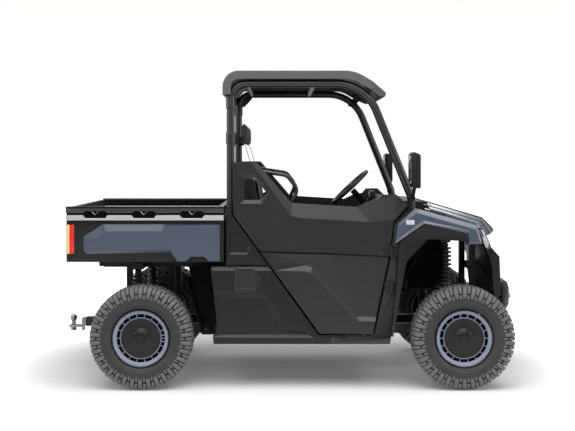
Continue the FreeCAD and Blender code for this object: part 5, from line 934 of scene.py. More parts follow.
def lean(z):
    """How far from the middle a side hoop stands at a height."""
    return 0.656 - 0.044 * ((z - HOOP_FOOT) / (HOOP_TOP - HOOP_FOOT))


def bent_bar(points, bends, radius, sides=20):
    """A round bar along straight runs with an arc at each corner."""
    points = [Vector(p) for p in points]
    line = [points[0]]
    for index in range(1, len(points) - 1):
        here = points[index]
        back = (points[index - 1] - here).normalized()
        on = (points[index + 1] - here).normalized()
        half = back.angle(on) / 2
        reach = bends[index - 1] / math.tan(half)
        middle = here + (back + on).normalized() * (bends[index - 1] / math.sin(half))
        first = here + back * reach - middle
        last = here + on * reach - middle
        turn = math.pi - half * 2
        axis = first.cross(last).normalized()
        for step in range(13):
            line.append(middle + Matrix.Rotation(turn * step / 12, 3, axis) @ first)
    line.append(points[-1])
    return bar(line, radius, sides)


hoop_places = [(HOOP_X, HOOP_FOOT), (HOOP_X, HOOP_TOP), (0.49425, HOOP_TOP), (0.79625, 1.25015), (0.7998, 1.07966),
               (0.6284, 0.56018), (0.6219, HOOP_FOOT)]
hoop = bent_bar([(x, -lean(z), z) for x, z in hoop_places], [0.105, 0.285, 0.12, 0.12, 0.12], 0.0268, 24)
cage_parts = [both_sides(hoop)]
for x, z in ((-0.294, HOOP_TOP), (0.1515, HOOP_TOP), (HOOP_X, 1.64), (HOOP_X, 1.1327)):
    reach = lean(z)
    cage_parts.append(bar([(x, -reach, z), (x, 0, z), (x, reach, z)], 0.0188, 20))
for x in (-0.294, 0.1515):
    for side in (-1, 1):
        y = side * (lean(HOOP_TOP) - 0.05)
        cage_parts.append(turned([(0.0215, y - 0.016), (0.0215, y + 0.016), (0.018, y + 0.016), (0.018, y - 0.016)],
                                 (x, 0, HOOP_TOP), 24))
for z_low, z_high in ((1.834, 1.921), (1.6, 1.68)):
    for side in (-1, 1):
        y = side * lean((z_low + z_high) / 2)
        band = [(0.0268, z_low), (0.0315, z_low + 0.004), (0.0315, z_high - 0.004), (0.0268, z_high)]
        cage_parts.append(turned(band + [(0.0262, z_high), (0.0262, z_low)], (HOOP_X, y, 0), 28, "Z"))
        cage_parts += [moved(bolt(0.0065, 0.008, side), HOOP_X, y + side * 0.029, z)
                       for z in (z_low + 0.02, z_high - 0.02)]
foot = [(-0.445, 0.3665), (-0.356, 0.3665), (-0.356, 0.3725), (-0.445, 0.3725)]
cage_parts.append(both_sides(plate(foot, -0.688, -0.622, 0.0015, 1, 30)))
for outline in ([(0.452, 1.915), (0.498, 1.898), (0.556, 1.972), (0.53, 1.996), (0.505, 1.99)],
                [(-0.386, 1.905), (-0.352, 1.905), (-0.3, 1.96), (-0.285, 1.985), (-0.386, 1.985)]):
    cage_parts.append(both_sides(plate(outline, -0.606, -0.598, 0.002, 1, 30)))
keep("tube_cage", join(cage_parts), tube_black, "chassis", ("roll_cage",))


# ---- Rims: dish, pale window ring with its bars, valve window, web behind ----

def octagon(half_x, low, high, cut_corner):
    """An eight-cornered window standing at the top of a wheel, in mm."""
    slim = half_x - cut_corner
    return [(x, z, 0) for x, z in (
        (-half_x, low + cut_corner), (-slim, low), (slim, low), (half_x, low + cut_corner),
        (half_x, high - cut_corner), (slim, high), (-slim, high), (-half_x, high - cut_corner))]


def rim(corner):
    """One wheel, made facing -Y with its lip's outer plane at y = 0, then set on its side of the vehicle."""
    node = "rim_" + corner
    low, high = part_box(node)
    centre = (low + high) / 2
    width = 0.208 if corner.startswith("front") else 0.244
    here = (0, 0, 0)
    barrel = [(0.1866, 0.0004), (0.1866, 0.006), (0.1805, 0.012), (0.179, 0.03), (0.165, 0.046),
              (0.165, width - 0.046), (0.179, width - 0.032), (0.1805, width - 0.01), (0.1866, width - 0.006),
              (0.1866, width - 0.0006), (0.1815, width - 0.0006), (0.175, width - 0.026),
              (0.16, width - 0.05), (0.16, 0.052), (0.174, 0.032), (0.1795, 0.004), (0.184, 0.0004)]
    ring = [(0.157, 0.024), (0.1585, 0.0205), (0.16, 0.0192), (0.1755, 0.0128), (0.179, 0.0132),
            (0.18, 0.016), (0.18, 0.031), (0.157, 0.031)]
    thin = [(0.1285, 0.024), (0.1295, 0.0205), (0.131, 0.0192), (0.134, 0.0192), (0.1352, 0.0205),
            (0.136, 0.024), (0.136, 0.031), (0.1285, 0.031)]
    dish = [(0.0, -0.0055), (0.0235, -0.0055), (0.027, -0.0045), (0.0285, -0.002), (0.0287, 0.0062),
            (0.033, 0.0066), (0.041, 0.0078), (0.065, 0.02), (0.069, 0.0214), (0.09, 0.0228),
            (0.12, 0.0232), (0.129, 0.0222), (0.129, 0.034), (0.0, 0.034)]
    web = [(0.179, 0.042), (0.13, 0.056), (0.06, 0.066), (0.06, 0.072), (0.13, 0.062), (0.179, 0.048)]
    spoke = new_mesh(hull_block, [(side * wide, y, r) for r, wide in ((0.1335, 0.0026), (0.159, 0.0036))
                                  for side in (-1, 1) for y in (0.0205, 0.03)])
    parts = [turned(profile, here, 120) for profile in (barrel, ring, thin, dish)]
    parts.append(ring_of(soften(spoke, 0.0008, 1, 30), steel, 18, here, 0.5))
    valve_frame = soften(new_mesh(pressed, octagon(24.5, 127, 169, 10), [], [octagon(18.5, 133, 164, 8.5)],
                                  0.0165, 0.03), 0.0012, 1, 20)
    valve_turn = 0 if corner.startswith("front") else 90
    parts.append(turned_about(valve_frame, "Y", valve_turn))
    stem = [(0, 0.023), (0.004, 0.023), (0.0044, 0.03), (0.006, 0.034), (0.006, 0.045), (0, 0.045)]
    dark = [turned(web, here, 96), turned_about(turned(stem, (0, 0, 0.149), 18), "Y", valve_turn)]
    nuts = ring_of(moved(bolt(0.0075, 0.012), 0.048, 0.015, 0), steel, 4, here, 0.5)
    side = 1 if corner.endswith("left") else -1
    set_down = Matrix.Translation((centre.x, side * 0.788, centre.z))
    if side > 0:
        set_down = set_down @ Matrix.Rotation(math.pi, 4, "Z")
    even_faces(keep(corner + "_wheel", placed(join(parts), set_down), rim_finishes[corner], BODY_OF[node],
                    (node,)))
    # The web behind the windows is in the darkened finish: painted shade seen through the windows.
    keep(corner + "_wheel_web", placed(join(dark), set_down), shade_black, BODY_OF[node])
    keep(corner + "_wheel_nuts", placed(nuts, set_down), dark_steel, BODY_OF[node])


for corner in rim_finishes:
    rim(corner)


# ---- Springs, shock bodies and boots ----

def shock_places():
    """Foot and top of the four shock absorbers, from listed axle, knuckle and deck places."""
    arms = {"front": (1.124, 0.59, 0.975), "rear": (-0.976, 0.56, 0.79)}
    arm_y, eye_z, eye_below_deck = 0.2563, 0.3093, 0.0613
    for end, (axle, knuckle, deck) in arms.items():
        x = axle - 0.066
        along = (x - axle + 0.15) / 0.15
        for side in (-1, 1):
            yield (end, Vector((x, side * (arm_y + (knuckle - arm_y) * along), eye_z)),
                   Vector((x, side * 0.4, deck - eye_below_deck)))


spring_parts, body_parts, collar_parts, seat_parts = [], [], [], []
for end, foot, top in shock_places():
    along = top - foot
    length = along.length
    low_share = 0.575 if end == "front" else 0.47
    split = length * low_share
    upright = along.to_track_quat("Z", "Y").to_matrix().to_4x4()
    spot = Matrix.Translation(foot) @ upright
    spring = grown(COIL, None, spring_steel, Turns=8.5 if end == "front" else 6.5, Radius=0.0355,
                   Height=length * (0.965 - low_share), Wire=0.0062)
    spring_parts.append(placed(spring, Matrix.Translation(foot + along * low_share) @ upright))
    rod = [(0, 0.006), (0.013, 0.008), (0.014, 0.026), (0.0095, 0.034), (0.0095, split), (0, split)]
    can = [(0, split), (0.02, split), (0.0215, length * 0.62), (0.0215, length * 0.95), (0.012, length - 0.014),
           (0, length - 0.014)]
    cup = [(0.009, split - 0.016), (0.02, split - 0.016), (0.037, split - 0.006), (0.0385, split),
           (0.0385, split + 0.004), (0.009, split + 0.004)]
    cap = [(0.012, length * 0.96), (0.0385, length * 0.96), (0.0385, length * 0.975), (0.012, length * 0.975)]
    for group, profile, sides in ((body_parts, rod, 28), (collar_parts, can, 28), (seat_parts, cup, 32),
                                  (collar_parts, cap, 32)):
        group.append(placed(turned(profile, (0, 0, 0), sides, "Z"), spot))
    for place in (foot, top):
        eye = [(0.007, -0.016), (0.0165, -0.016), (0.0165, 0.016), (0.007, 0.016)]
        pin = [(0, -0.022), (0.0068, -0.022), (0.0068, 0.022), (0, 0.022)]
        collar_parts += [turned(eye, place, 24, "X"), turned(pin, place, 16, "X")]
keep("coil_springs", join(spring_parts), spring_steel, "chassis", ("coilovers",))
keep("shock_bodies", join(body_parts), steel, "chassis")
keep("shock_mounts", join(collar_parts), frame_black, "chassis")
keep("spring_cups", join(seat_parts), brass_fitting, "chassis")


BOOT_SIDES = 28


def boot(work, start, end, wide, narrow, folds):
    """A bellows between two points, wide at its start."""
    start, end = Vector(start), Vector(end)
    along = (end - start).normalized()
    side = along.orthogonal().normalized()
    up = along.cross(side)
    rings = []
    for step in range(folds * 2 + 1):
        share = step / (folds * 2)
        radius = wide + (narrow - wide) * share - (0.0065 if step % 2 else 0.0)
        here = start + (end - start) * share
        rings.append([work.verts.new(here + (side * math.cos(math.tau * k / BOOT_SIDES)
                                             + up * math.sin(math.tau * k / BOOT_SIDES)) * radius)
                      for k in range(BOOT_SIDES)])
    skin(work, rings)


boots = []
for axle, knuckle in ((1.124, 0.59), (-0.976, 0.56)):
    for side in (-1, 1):
        start = Vector((axle, side * 0.2405, 0.3875))
        end = Vector((axle, side * (knuckle - 0.029), 0.341))
        run = end - start
        boots.append(new_mesh(boot, start, start + run * 0.26, 0.037, 0.019, 5))
        boots.append(new_mesh(boot, end - run * 0.01, end - run * 0.26, 0.035, 0.019, 5))
keep("shaft_boots", join(boots), boot_rubber, "chassis")


# Splash plates in the front wheel arches, strips behind the doors' rear corners, and guards ahead of the rear wheels,
# all dark sheets in painted shade
splash = [(0.82, 0.6), (1.0, 0.6), (1.085, 0.7), (1.085, 0.958), (0.82, 0.958)]
corner_strip = [(-0.42, 1.06), (-0.345, 1.06), (-0.34, 1.112), (-0.376, 1.16), (-0.42, 1.16)]
guard = [(-0.69, 0.778), (-0.52, 0.778), (-0.503, 0.4), (-0.512, 0.345), (-0.56, 0.345), (-0.61, 0.47),
         (-0.65, 0.62)]
keep("splash_plates", both_sides(plate(splash, -0.254, -0.248), plate(corner_strip, -0.692, -0.684),
                                 plate(guard, -0.504, -0.5)), shade_black, "chassis")


# ---- Cargo bed: rails with their tie slots, side panels, tail lamps, tailgate and floor ----

SLOT_PLACES = (-1280.5, -962.2, -646.4)
cap_edge = [(-1472, 1148)]
strip_edge = [(-1472, 1134)]
for x in SLOT_PLACES:
    cap_edge += [(x - 75, 1148), (x - 66, 1160), (x + 66, 1160), (x + 75, 1148)]
    strip_edge += [(x - 81, 1134), (x - 66, 1114), (x + 66, 1114), (x + 81, 1134)]
cap_edge += [(-440, 1148), (-440, 1190), (-1472, 1190)]
strip_edge += [(-440, 1134), (-440, 1100), (-1472, 1100)]


caps = [both_sides(plate(cap_edge, -728, -710, 0.0028, 2, unit=0.001),
                   closed_box(-1472, -440, -728, -688, 1176, 1190, 0.003)),
        closed_box(-480, -440, -700, 700, 1174, 1190, 0.003),
        closed_box(-480, -440, -700, 700, 1148, 1176, 0.001)]
even_faces(keep("rail_caps", join(caps), rail_dark, "bed", ("bed_rails",)))
strips = [both_sides(plate(strip_edge, -728, -708, 0.0025, 2, unit=0.001)),
          closed_box(-480, -440, -700, 700, 1100, 1134),
          both_sides(closed_box(-1472, -440, -700, -688, 1100, 1132))]
even_faces(keep("rail_strips", join(strips), rail_metal, "bed"))
# Webs under the caps and in the tie slots, in the darkened finish: painted shade.
webs = [both_sides(closed_box(-1470, -442, -709, -690, 1102, 1188, 0.001)),
        closed_box(-477, -443, -700, 700, 1132, 1150, 0.001)]
webs += [both_sides(closed_box(x - 62, x + 62, -716, -708, 1117, 1123, 0.001)) for x in SLOT_PLACES]
keep("rail_webs", join(webs), shade_black, "bed")
hook_line = [(-0.022, -0.721, 1.16), (-0.02, -0.722, 1.157), (-0.003, -0.722, 1.139), (0, -0.722, 1.1375),
             (0.003, -0.722, 1.139), (0.02, -0.722, 1.157), (0.022, -0.721, 1.16)]
hook = both_sides(bar(hook_line, 0.0024, 8))
keep("rail_hooks", join([moved(hook, x / 1000, 0, 0) for x in SLOT_PLACES]), steel, "bed")

bed_skin_edge = [(-1360, 993, 20), (-1233, 1073, 20), (-830, 1073, 20), (-800, 1073, 20), (-466, 1073, 20),
                 (-466, 832, 3), (-537, 832, 0), (-569, 863, 3), (-655, 863, 3), (-687, 832, 0), (-743, 832, 1),
                 (-794, 891, 18), (-1336, 879, 20), (-1360, 899, 20)]
bed_field = [(-1257, 985, 6), (-1209, 1027, 6), (-849, 1029, 6), (-809, 1058, 6), (-484, 1058, 6), (-484, 910, 6),
             (-790, 907, 6), (-1257, 903, 6)]
bed_corner = [(-1360, 993, 20), (-1340, 980, 14), (-1257, 985, 6)]
bed_corner_low = [(-1340, 980, 14), (-1336, 893, 14), (-1257, 903, 6)]
bed_ridges = [[(-1233, 1073, 20), (-1209, 1027, 6)], [(-466, 1073, 20), (-484, 1058, 6)],
              [(-790, 907, 6), (-794, 891, 18)], [(-849, 1029, 6), (-830, 1073, 20)],
              [(-809, 1058, 6), (-800, 1073, 20)], [(-484, 910, 6), (-466, 832, 3)]]
bed_skin = panel(bed_skin_edge, [bed_corner, bed_corner_low] + bed_ridges, [bed_field], [], 723, 702.3, 0.0014)
even_faces(keep("bed_side_skins", both_sides(bed_skin), slate, "bed", ("bed_side_panels",)))

lamp_ribs = row_of(closed_box(-1448, -1424, -717.5, -712, 884, 892, 0.0015), red_lens, 14, (0, 0, 0.0137))
keep("tail_lamp_lenses", both_sides(closed_box(-1450, -1420, -713, -703, 881, 1071), lamp_ribs,
                                    closed_box(-1450, -1446, -718, -704, 881, 1071, 0.001)), red_lens, "bed",
     ("tail_lamps",))
keep("tail_lamp_edges", both_sides(closed_box(-1466, -1450.5, -717.5, -703, 881, 1071)), amber_lens, "bed")
bed_ribs = row_of(closed_box(-1432, -474, -9, 9, 0, 5, 0.0015), bed_black, 15, (0, 0.084, 0))
keep("bed_floor_ribs", moved(bed_ribs, 0, -0.588, 0.8375), bed_black, "bed")

gate_edge = [(-590, 830, 4), (590, 830, 4), (590, 1178, 4), (-590, 1178, 4)]
gate_field = [(-570, 850, 0), (570, 850, 0), (570, 1160, 0), (-570, 1160, 0)]
gate_dish_out = [(-470, 900, 0), (470, 900, 0), (500, 940, 0), (470, 1060, 0), (-470, 1060, 0), (-500, 940, 0)]
gate_dish = [(-462, 908, 5), (462, 908, 5), (491, 941, 5), (463, 1052, 5), (-463, 1052, 5), (-491, 941, 5)]
latch_out = [(-75, 1090, 0), (75, 1090, 0), (85, 1135, 0), (-85, 1135, 0)]
latch_dish = [(-70, 1094, 6), (70, 1094, 6), (79, 1131, 6), (-79, 1131, 6)]
gate_skin = panel(gate_edge, [], [gate_field, gate_dish_out, gate_dish, latch_out, latch_dish], [], 1479, 1471.5)
even_faces(keep("tailgate_skin", turned_about(gate_skin, "Z", -90), bed_black, "tailgate"))
latch = closed_box(-48, 48, -1481, -1474, 1106, 1124, 0.003)
# The latch in the darkened finish: painted shade in its recess.
keep("tailgate_latch", turned_about(latch, "Z", -90), shade_black, "tailgate")


# ---- Cab: seats, headrests, belts, steering wheel, hip bars, mirrors, dashboard ----

def cap_moves(made, before, cap):
    """Hold each point within a reach of where it began."""
    for vertex, start in zip(made.vertices, before):
        move = vertex.co - start
        if move.length > cap:
            vertex.co = start + move * (cap / move.length)


def stuffed(mesh, voxel, cap):
    """A pad swollen by cloth simulation from a slightly smaller shape, then made smooth."""
    holder = bpy.data.objects.new("stuffing", mesh)
    bpy.context.scene.collection.objects.link(holder)
    remesh = holder.modifiers.new("remesh", "REMESH")
    remesh.mode = "VOXEL"
    remesh.voxel_size = voxel
    body = plain_mesh(holder)
    holder.modifiers.remove(remesh)
    holder.data = body
    before = [v.co.copy() for v in body.vertices]
    cloth = holder.modifiers.new("stuffed", "CLOTH")
    settings = cloth.settings
    settings.quality = 4
    settings.mass = 0.3
    settings.tension_stiffness = settings.compression_stiffness = 12
    settings.bending_stiffness = 0.6
    settings.use_pressure = True
    settings.uniform_pressure_force = 4.0
    settings.effector_weights.gravity = 0.0
    cloth.point_cache.frame_start, cloth.point_cache.frame_end = 1, 20
    for step in range(1, 21):
        bpy.context.scene.frame_set(step)
    body = plain_mesh(holder)
    holder.modifiers.remove(cloth)
    cap_moves(body, before, cap)
    bpy.context.scene.frame_set(1)
    holder.data = body
    smooth = holder.modifiers.new("smooth", "SMOOTH")
    smooth.iterations = 9
    made = plain_mesh(holder)
    bpy.data.objects.remove(holder, do_unlink=True)
    return made


def loop_seam(points, radius=0.003):
    """Piping sewn round a pad."""
    line = [Vector(p) / 1000 for p in points]
    return bar(smooth_path(line + [line[0]], 5), radius, 8, False)


cushion_side = [(-272, 753), (176, 753), (183, 790), (172, 838), (130, 853), (-272, 846)]
back_side = [(-251, 872), (-160, 872), (-217, 1226), (-244, 1366), (-266, 1394), (-304, 1394), (-323, 1368),
             (-291, 1226)]
rest_side = [(-328, 1602), (-306, 1602), (-303, 1672), (-307, 1742), (-326, 1742), (-329, 1672)]
cushion = stuffed(plate(cushion_side, 14, 548, 0.022, 3, 15, 0.001), 0.008, 0.014)
backrest = stuffed(plate(back_side, 14, 548, 0.02, 3, 15, 0.001), 0.008, 0.012)
headrest = stuffed(plate(rest_side, -118, 118, 0.01, 3, 15, 0.001), 0.005, 0.008)
for side_name, shift in (("left", 0.0), ("right", -0.562)):
    keep(side_name + "_seat_cushion", moved(cushion, 0, shift, 0), seat_vinyl, "chassis",
                   ("seat_cushions",))
    keep(side_name + "_seat_back", moved(backrest, 0, shift, 0), seat_vinyl, "chassis",
                   ("seat_backs",))
for place_name, y in (("left", 0.35), ("middle", 0.0), ("right", -0.35)):
    keep(place_name + "_headrest", moved(headrest, 0, y, 0), headrest_vinyl, "chassis",
                   ("headrests",))
stays = []
for y in (-350, 0, 350):
    for stay_y in ((y - 45) / 1000, (y + 45) / 1000):
        stays.append(bar(smooth_path([(-0.399, stay_y, 1.64), (-0.365, stay_y, 1.64), (-0.335, stay_y, 1.65),
                                      (-0.322, stay_y, 1.68)], 5), 0.006, 12))
    stays.append(closed_box(-424, -372, y - 62, y + 62, 1622, 1658, 0.004))
keep("headrest_stays", join(stays), frame_black, "chassis")
seams = []
for shift in (0, -562):
    y0, y1 = 30 + shift, 532 + shift
    seams.append(loop_seam([(-262, y0, 845), (-40, y0 - 8, 856), (150, y0, 848), (176, (y0 + y1) / 2, 842),
                            (150, y1, 848), (-40, y1 + 8, 856), (-262, y1, 845), (-270, (y0 + y1) / 2, 844)]))
    seams += [bar([(x, (y0 + 18) / 1000, 0.8575), (x, (y1 - 18) / 1000, 0.8575)], 0.0022, 8)
              for x in (-0.15, -0.02, 0.1)]
# Piping in the darkened finish: painted shade along the seams.
keep("seat_seams", join(seams), shade_black, "chassis")

belt_line = [(-0.3795, -0.507, 1.64), (-0.342, -0.507, 1.622), (-0.307, -0.507, 1.591), (-0.273, -0.507, 1.481),
             (-0.233, -0.507, 1.372), (-0.205, -0.507, 1.225), (-0.146, -0.507, 0.866)]
keep("belt_straps", both_sides(new_mesh(strap, smooth_path(belt_line, 6), 0.046, 0.0028)), belt_webbing, "chassis",
     ("seat_belts",))
keep("belt_fittings", both_sides(closed_box(-397, -352, -536, -478, 1604, 1668, 0.008),
                                 closed_box(-160, -132, -534, -480, 872, 930, 0.005),
                                 closed_box(-200, -176, -34, -10, 866, 950, 0.005)), black_plastic, "chassis")

hip_line = [(-0.3696, -0.622, 1.445), (-0.0246, -0.622, 1.394), (0.0476, -0.622, 1.3), (-0.0455, -0.622, 1.106),
            (-0.0455, -0.622, 0.3676)]
keep("hip_tubes", both_sides(bent_bar(hip_line, [0.07, 0.07, 0.07], 0.0139, 18)), tube_black, "chassis",
     ("hip_bars",))

tilt = Matrix.Translation((0.452, 0.35, 1.288)) @ Matrix.Rotation(math.radians(-43), 4, "Y")
grip_ring = [(0.17 + 0.0155 * math.cos(math.tau * k / 16), 0.0135 * math.sin(math.tau * k / 16)) for k in range(16)]
keep("wheel_ring", placed(turned(grip_ring, (0, 0, 0), 96, "Z"), tilt), grip, "steering_wheel",
     ("steering_wheel",))
wheel_parts = [turned([(0, -0.016), (0.034, -0.016), (0.042, 0.002), (0.04, 0.012), (0.03, 0.018), (0, 0.019)],
                      (0, 0, 0), 40, "Z")]
spoke = soften(new_mesh(hull_block, [(r, w * s, z) for r, w, z0 in ((0.03, 0.019, 0.008), (0.16, 0.011, 0.005))
                                     for s in (-1, 1) for z in (z0, z0 - 0.009)]), 0.003, 2, 20)
wheel_parts += [turned_about(spoke, "Z", angle) for angle in (90, 210, 330)]
keep("wheel_spokes", placed(join(wheel_parts), tilt), black_plastic, "steering_wheel")

head_edge = [(0.7775, 1.316), (0.8219, 1.316), (0.8219, 1.5295), (0.779, 1.548), (0.7603, 1.53),
             (0.7603, 1.34)]
mirror_head = plate(head_edge, -0.94, -0.78, 0.01, 3)
arm_line = [(0.79, -0.672, 1.246), (0.7966, -0.716, 1.256), (0.7966, -0.79, 1.3), (0.7966, -0.833, 1.345)]
clamp = turned([(0, -0.024), (0.022, -0.024), (0.024, -0.018), (0.024, 0.018), (0.022, 0.024), (0, 0.024)],
               (0.792, -0.684, 1.248), 24)
keep("mirror_heads", both_sides(mirror_head, bar(smooth_path(arm_line, 8), 0.0115), clamp), black_plastic, "chassis",
     ("side_mirrors",))
glass_edge = [(0.7588, 1.346), (0.7612, 1.346), (0.7612, 1.524), (0.7588, 1.524)]
keep("mirror_glass", both_sides(plate(glass_edge, -0.928, -0.792, 0.0008)), mirror_glass, "chassis")

dash_field = [(-540, 1010, 3), (540, 1010, 3), (560, 1150, 3), (-560, 1150, 3)]
dash_slots = [[(y - wide, low, depth), (y + wide, low, depth), (y + wide, high, depth), (y - wide, high, depth)]
              for y in (-470, -200, 120, 500) for wide, low, high, depth in ((46, 1090, 1128, 3), (42, 1094, 1124, 9))]
dash_skin = panel([(-560, 1000, 6), (560, 1000, 6), (580, 1165, 6), (-580, 1165, 6)], [], [dash_field] + dash_slots,
                  [], 10, -10)
lean_back = Matrix.Translation((0.5565, 0, 1.06)) @ Matrix.Rotation(math.radians(15.6), 4, "Y") @ Matrix.Translation(
    (0, 0, -1.06))
keep("dash_face", placed(dash_skin, lean_back @ Matrix.Rotation(-math.pi / 2, 4, "Z")), black_plastic, "chassis")
pod = closed_box(250, 450, -12, 30, 1165, 1262, 0.012)
pod_glass = closed_box(266, 434, -14.5, -11, 1178, 1250, 0.004)
pod_place = Matrix.Translation((0.61, 0, 0)) @ Matrix.Rotation(-math.pi / 2, 4, "Z") @ Matrix.Scale(
    -1, 4, Vector((1, 0, 0)))
for part_name, mesh, finish in (("gauge_pod", pod, black_plastic), ("gauge_screen", pod_glass, screen_glass)):
    shown = placed(mesh, pod_place)
    shown.flip_normals()
    keep(part_name, shown, finish, "chassis")


# ---- Nose: fenders, hood, lamps and bumper ----

fender_edge = [(677, 950, 2), (697, 1078, 12), (809, 1180, 20), (835, 1173, 27), (1217, 1066, 27), (1246, 949, 14),
               (1147, 944, 20), (1150, 1019, 2), (868, 1083, 0)]
fender_top = [(697, 1078, 12), (716, 1073, 8), (822, 1150, 8), (1202, 1042, 8), (1217, 1066, 27)]
fender_roll = [(809, 1180, 20), (830, 1162, 15), (1209, 1054, 15), (1217, 1066, 27)]
fender_lip = [(677, 950, 2), (693, 980, 8), (860, 1103, 8), (1164, 1036, 8), (1163, 962, 8), (1147, 944, 20)]
fender_front = [(1202, 1042, 8), (1231, 962, 8), (1246, 949, 14)]
fender_foot = [(1163, 962, 8), (1231, 962, 8)]
fender_rear = [(716, 1073, 8), (693, 980, 8)]
fender_skin = panel(fender_edge, [fender_top, fender_roll, fender_lip, fender_front, fender_foot, fender_rear], [],
                    [], 765, 737, 0.0018)
shelf_edge = [(0.835, 1.1727), (1.217, 1.066), (1.217, 1.0535), (0.835, 1.16)]
even_faces(keep("fender_skins", both_sides(fender_skin, plate(shelf_edge, -0.7366, -0.5085, 0.002)), slate, "chassis",
                ("front_fenders",)))
keep("fender_plates", both_sides(closed_box(749, 803, -759.5, -756.5, 1074, 1104, 0.001)), plate_pale, "chassis")

HOOD_STATIONS = ((0, 0, 0), (110, 3, 0), (200, 20, 0), (318, 48, 0), (352, 58, 3), (380, 68, 10), (440, 98, 26),
                 (488, 138, 37), (500, 160, 42))
HOOD_TOP = ((940, 1205), (1010, 1186), (1250, 1120), (1365, 1088), (1412, 1043), (1441, 1016), (1448, 1000))
HOOD_UNDER = ((1430, 985), (1300, 1046), (1217, 1072), (1010, 1138), (940, 1158))


def hood_section(y, setback, drop):
    """The hood's section at a distance from the middle: its nose goes back and its top comes down outwards."""
    def back(x):
        return x - setback * max(0.0, (x - 1180) / 268)
    top = [(back(x), z - drop * (1.0 if x < 1365 else 0.55)) for x, z in HOOD_TOP]
    inner = [(back(1424), 1010), (back(1356), 1072 - drop), (back(1250), 1104 - drop), (1010, 1170 - drop),
             (945, 1188 - drop)]
    if y > 485:
        inner = [(back(x), z - 0.1 * drop) for x, z in HOOD_UNDER]
    return [(x / 1000, y / 1000, z / 1000) for x, z in top + inner]


def hood_shell(work):
    stations = [(-y, s, d) for y, s, d in reversed(HOOD_STATIONS[1:])] + list(HOOD_STATIONS)
    loft(work, [[(x, y / 1000, z) for x, _, z in hood_section(abs(y), setback, drop)] for y, setback, drop in stations])


def hood_line(y, lift):
    """A line along the hood's top at a distance from the middle."""
    for near, far in zip(HOOD_STATIONS, HOOD_STATIONS[1:]):
        if near[0] <= y <= far[0]:
            t = (y - near[0]) / (far[0] - near[0])
            setback, drop = (near[k] + (far[k] - near[k]) * t for k in (1, 2))
    return [(p[0], y / 1000, p[2] + lift) for p in hood_section(y, setback, drop)[:len(HOOD_TOP)]
            if 0.94 <= p[0] <= 1.44]


hood_parts = [soften(new_mesh(hood_shell), 0.003, 2, 5)]
for side in (-1, 1):
    for y in (362, 390):
        hood_parts.append(closed_box(914, 962, side * y - 6, side * y + 6, 1166, 1190, 0.002))
    barrel = [(0.0042, side * 0.36), (0.0088, side * 0.36), (0.0088, side * 0.3915), (0.0042, side * 0.3915)]
    hood_parts.append(turned(barrel, (0.925, 0, 1.176), 24))
even_faces(keep("hood_moulding", join(hood_parts), slate, "hood", ("hood",)))
# Trims and vent slots in the darkened finish: painted shade in the openings.
trims = both_sides(bar(hood_line(340, 0.001), 0.0042, 10), bar(hood_line(430, 0.0008), 0.0026, 8))
vent = [(0.985, 1.1945), (1.13, 1.1547), (1.13, 1.15), (0.985, 1.1898)]
vents = [plate(vent, y / 1000 - 0.009, y / 1000 + 0.009) for y in range(-150, 151, 30)]
keep("hood_trims", join([trims] + vents), shade_black, "hood")

lamp_edge = [(1299, 1033), (1303, 1031), (1352, 913), (1343, 893), (1310, 893), (1284, 950), (1270, 1020)]
keep("headlamp_lenses", both_sides(plate(lamp_edge, -499, -331, 0.006, 3, unit=0.001)), lens_glass, "chassis",
     ("headlamps",))
bowl_edge = [(1300, 1022), (1338, 930), (1334, 903), (1314, 903), (1290, 952), (1279, 1014)]
bowls = [plate(bowl_edge, y0, y1, 0.004, 2, unit=0.001) for y0, y1 in ((-491, -446), (-440, -392), (-386, -339))]
keep("headlamp_bowls", both_sides(*bowls), lamp_white, "chassis")

BUMPER_EDGE = ((1436, 446), (1500, 438), (1536, 448), (1556, 480), (1558, 520), (1557, 590), (1544, 628),
               (1510, 650), (1480, 648), (1462, 640), (1462, 622), (1500, 614), (1514, 600), (1514, 496),
               (1500, 486), (1436, 486))


def bumper_shell(work):
    """The bumper bar, whose ends bend back."""
    half = ((110, 2), (190, 18), (250, 42), (284, 62), (300, 74))
    loft(work, [[((x - back * (x - 1436) / 122) / 1000, y / 1000, z / 1000) for x, z in BUMPER_EDGE]
                for y, back in [(-y, back) for y, back in reversed(half)] + list(half)])


hook_edge = [(1540, 495.5), (1572, 495.5), (1582, 499), (1589, 506), (1591, 515.6), (1589, 525), (1582, 532),
             (1572, 535.6), (1540, 535.6)]
hook_hole = [(1574.5 + 11 * math.cos(math.tau * k / 24), 515.6 + 11 * math.sin(math.tau * k / 24), 0)
             for k in range(24)]
hook = new_mesh(pressed, [(x, z, 0) for x, z in hook_edge], [], [hook_hole], -0.011, 0.011)
keep("bumper_bar", soften(new_mesh(bumper_shell), 0.003, 2, 20), frame_black, "chassis",
     ("front_bumper",))
keep("bumper_hook", soften(hook, 0.0015, 2, 40), steel, "chassis")

ribs = [closed_box(1404, 1421, -290, 290, rib_z, rib_z + 6, 0.0015) for rib_z in (703, 730, 757, 784, 811, 834)]
keep("grille_ribs", join(ribs), rail_dark, "chassis")
# Grille mesh in the darkened finish: painted shade behind the ribs.
uprights = row_of(closed_box(1372, 1378, -3, 3, 706, 838, 0.001), shade_black, 23, (0, 0.024, 0))
keep("grille_mesh", moved(uprights, 0, -0.264, 0), shade_black, "chassis")
lamp_disc = [(0, 1.4185), (0.024, 1.4185), (0.03, 1.415), (0.033, 1.41), (0.034, 1.39), (0, 1.39)]
keep("fog_lamps", both_sides(turned(lamp_disc, (0, -0.415, 0.626), 32, "X")), reflector, "chassis")
# Seal strip in the darkened finish: painted shade in the gap between dash and hood.
keep("cowl_seal", join([closed_box(898, 906, -346, 346, 1120, 1190, 0.003),
                        both_sides(closed_box(898, 906, -498, -404, 1120, 1190, 0.003))]), shade_black, "chassis")


# ---- Studio: pale floor, white surround, soft lights ----

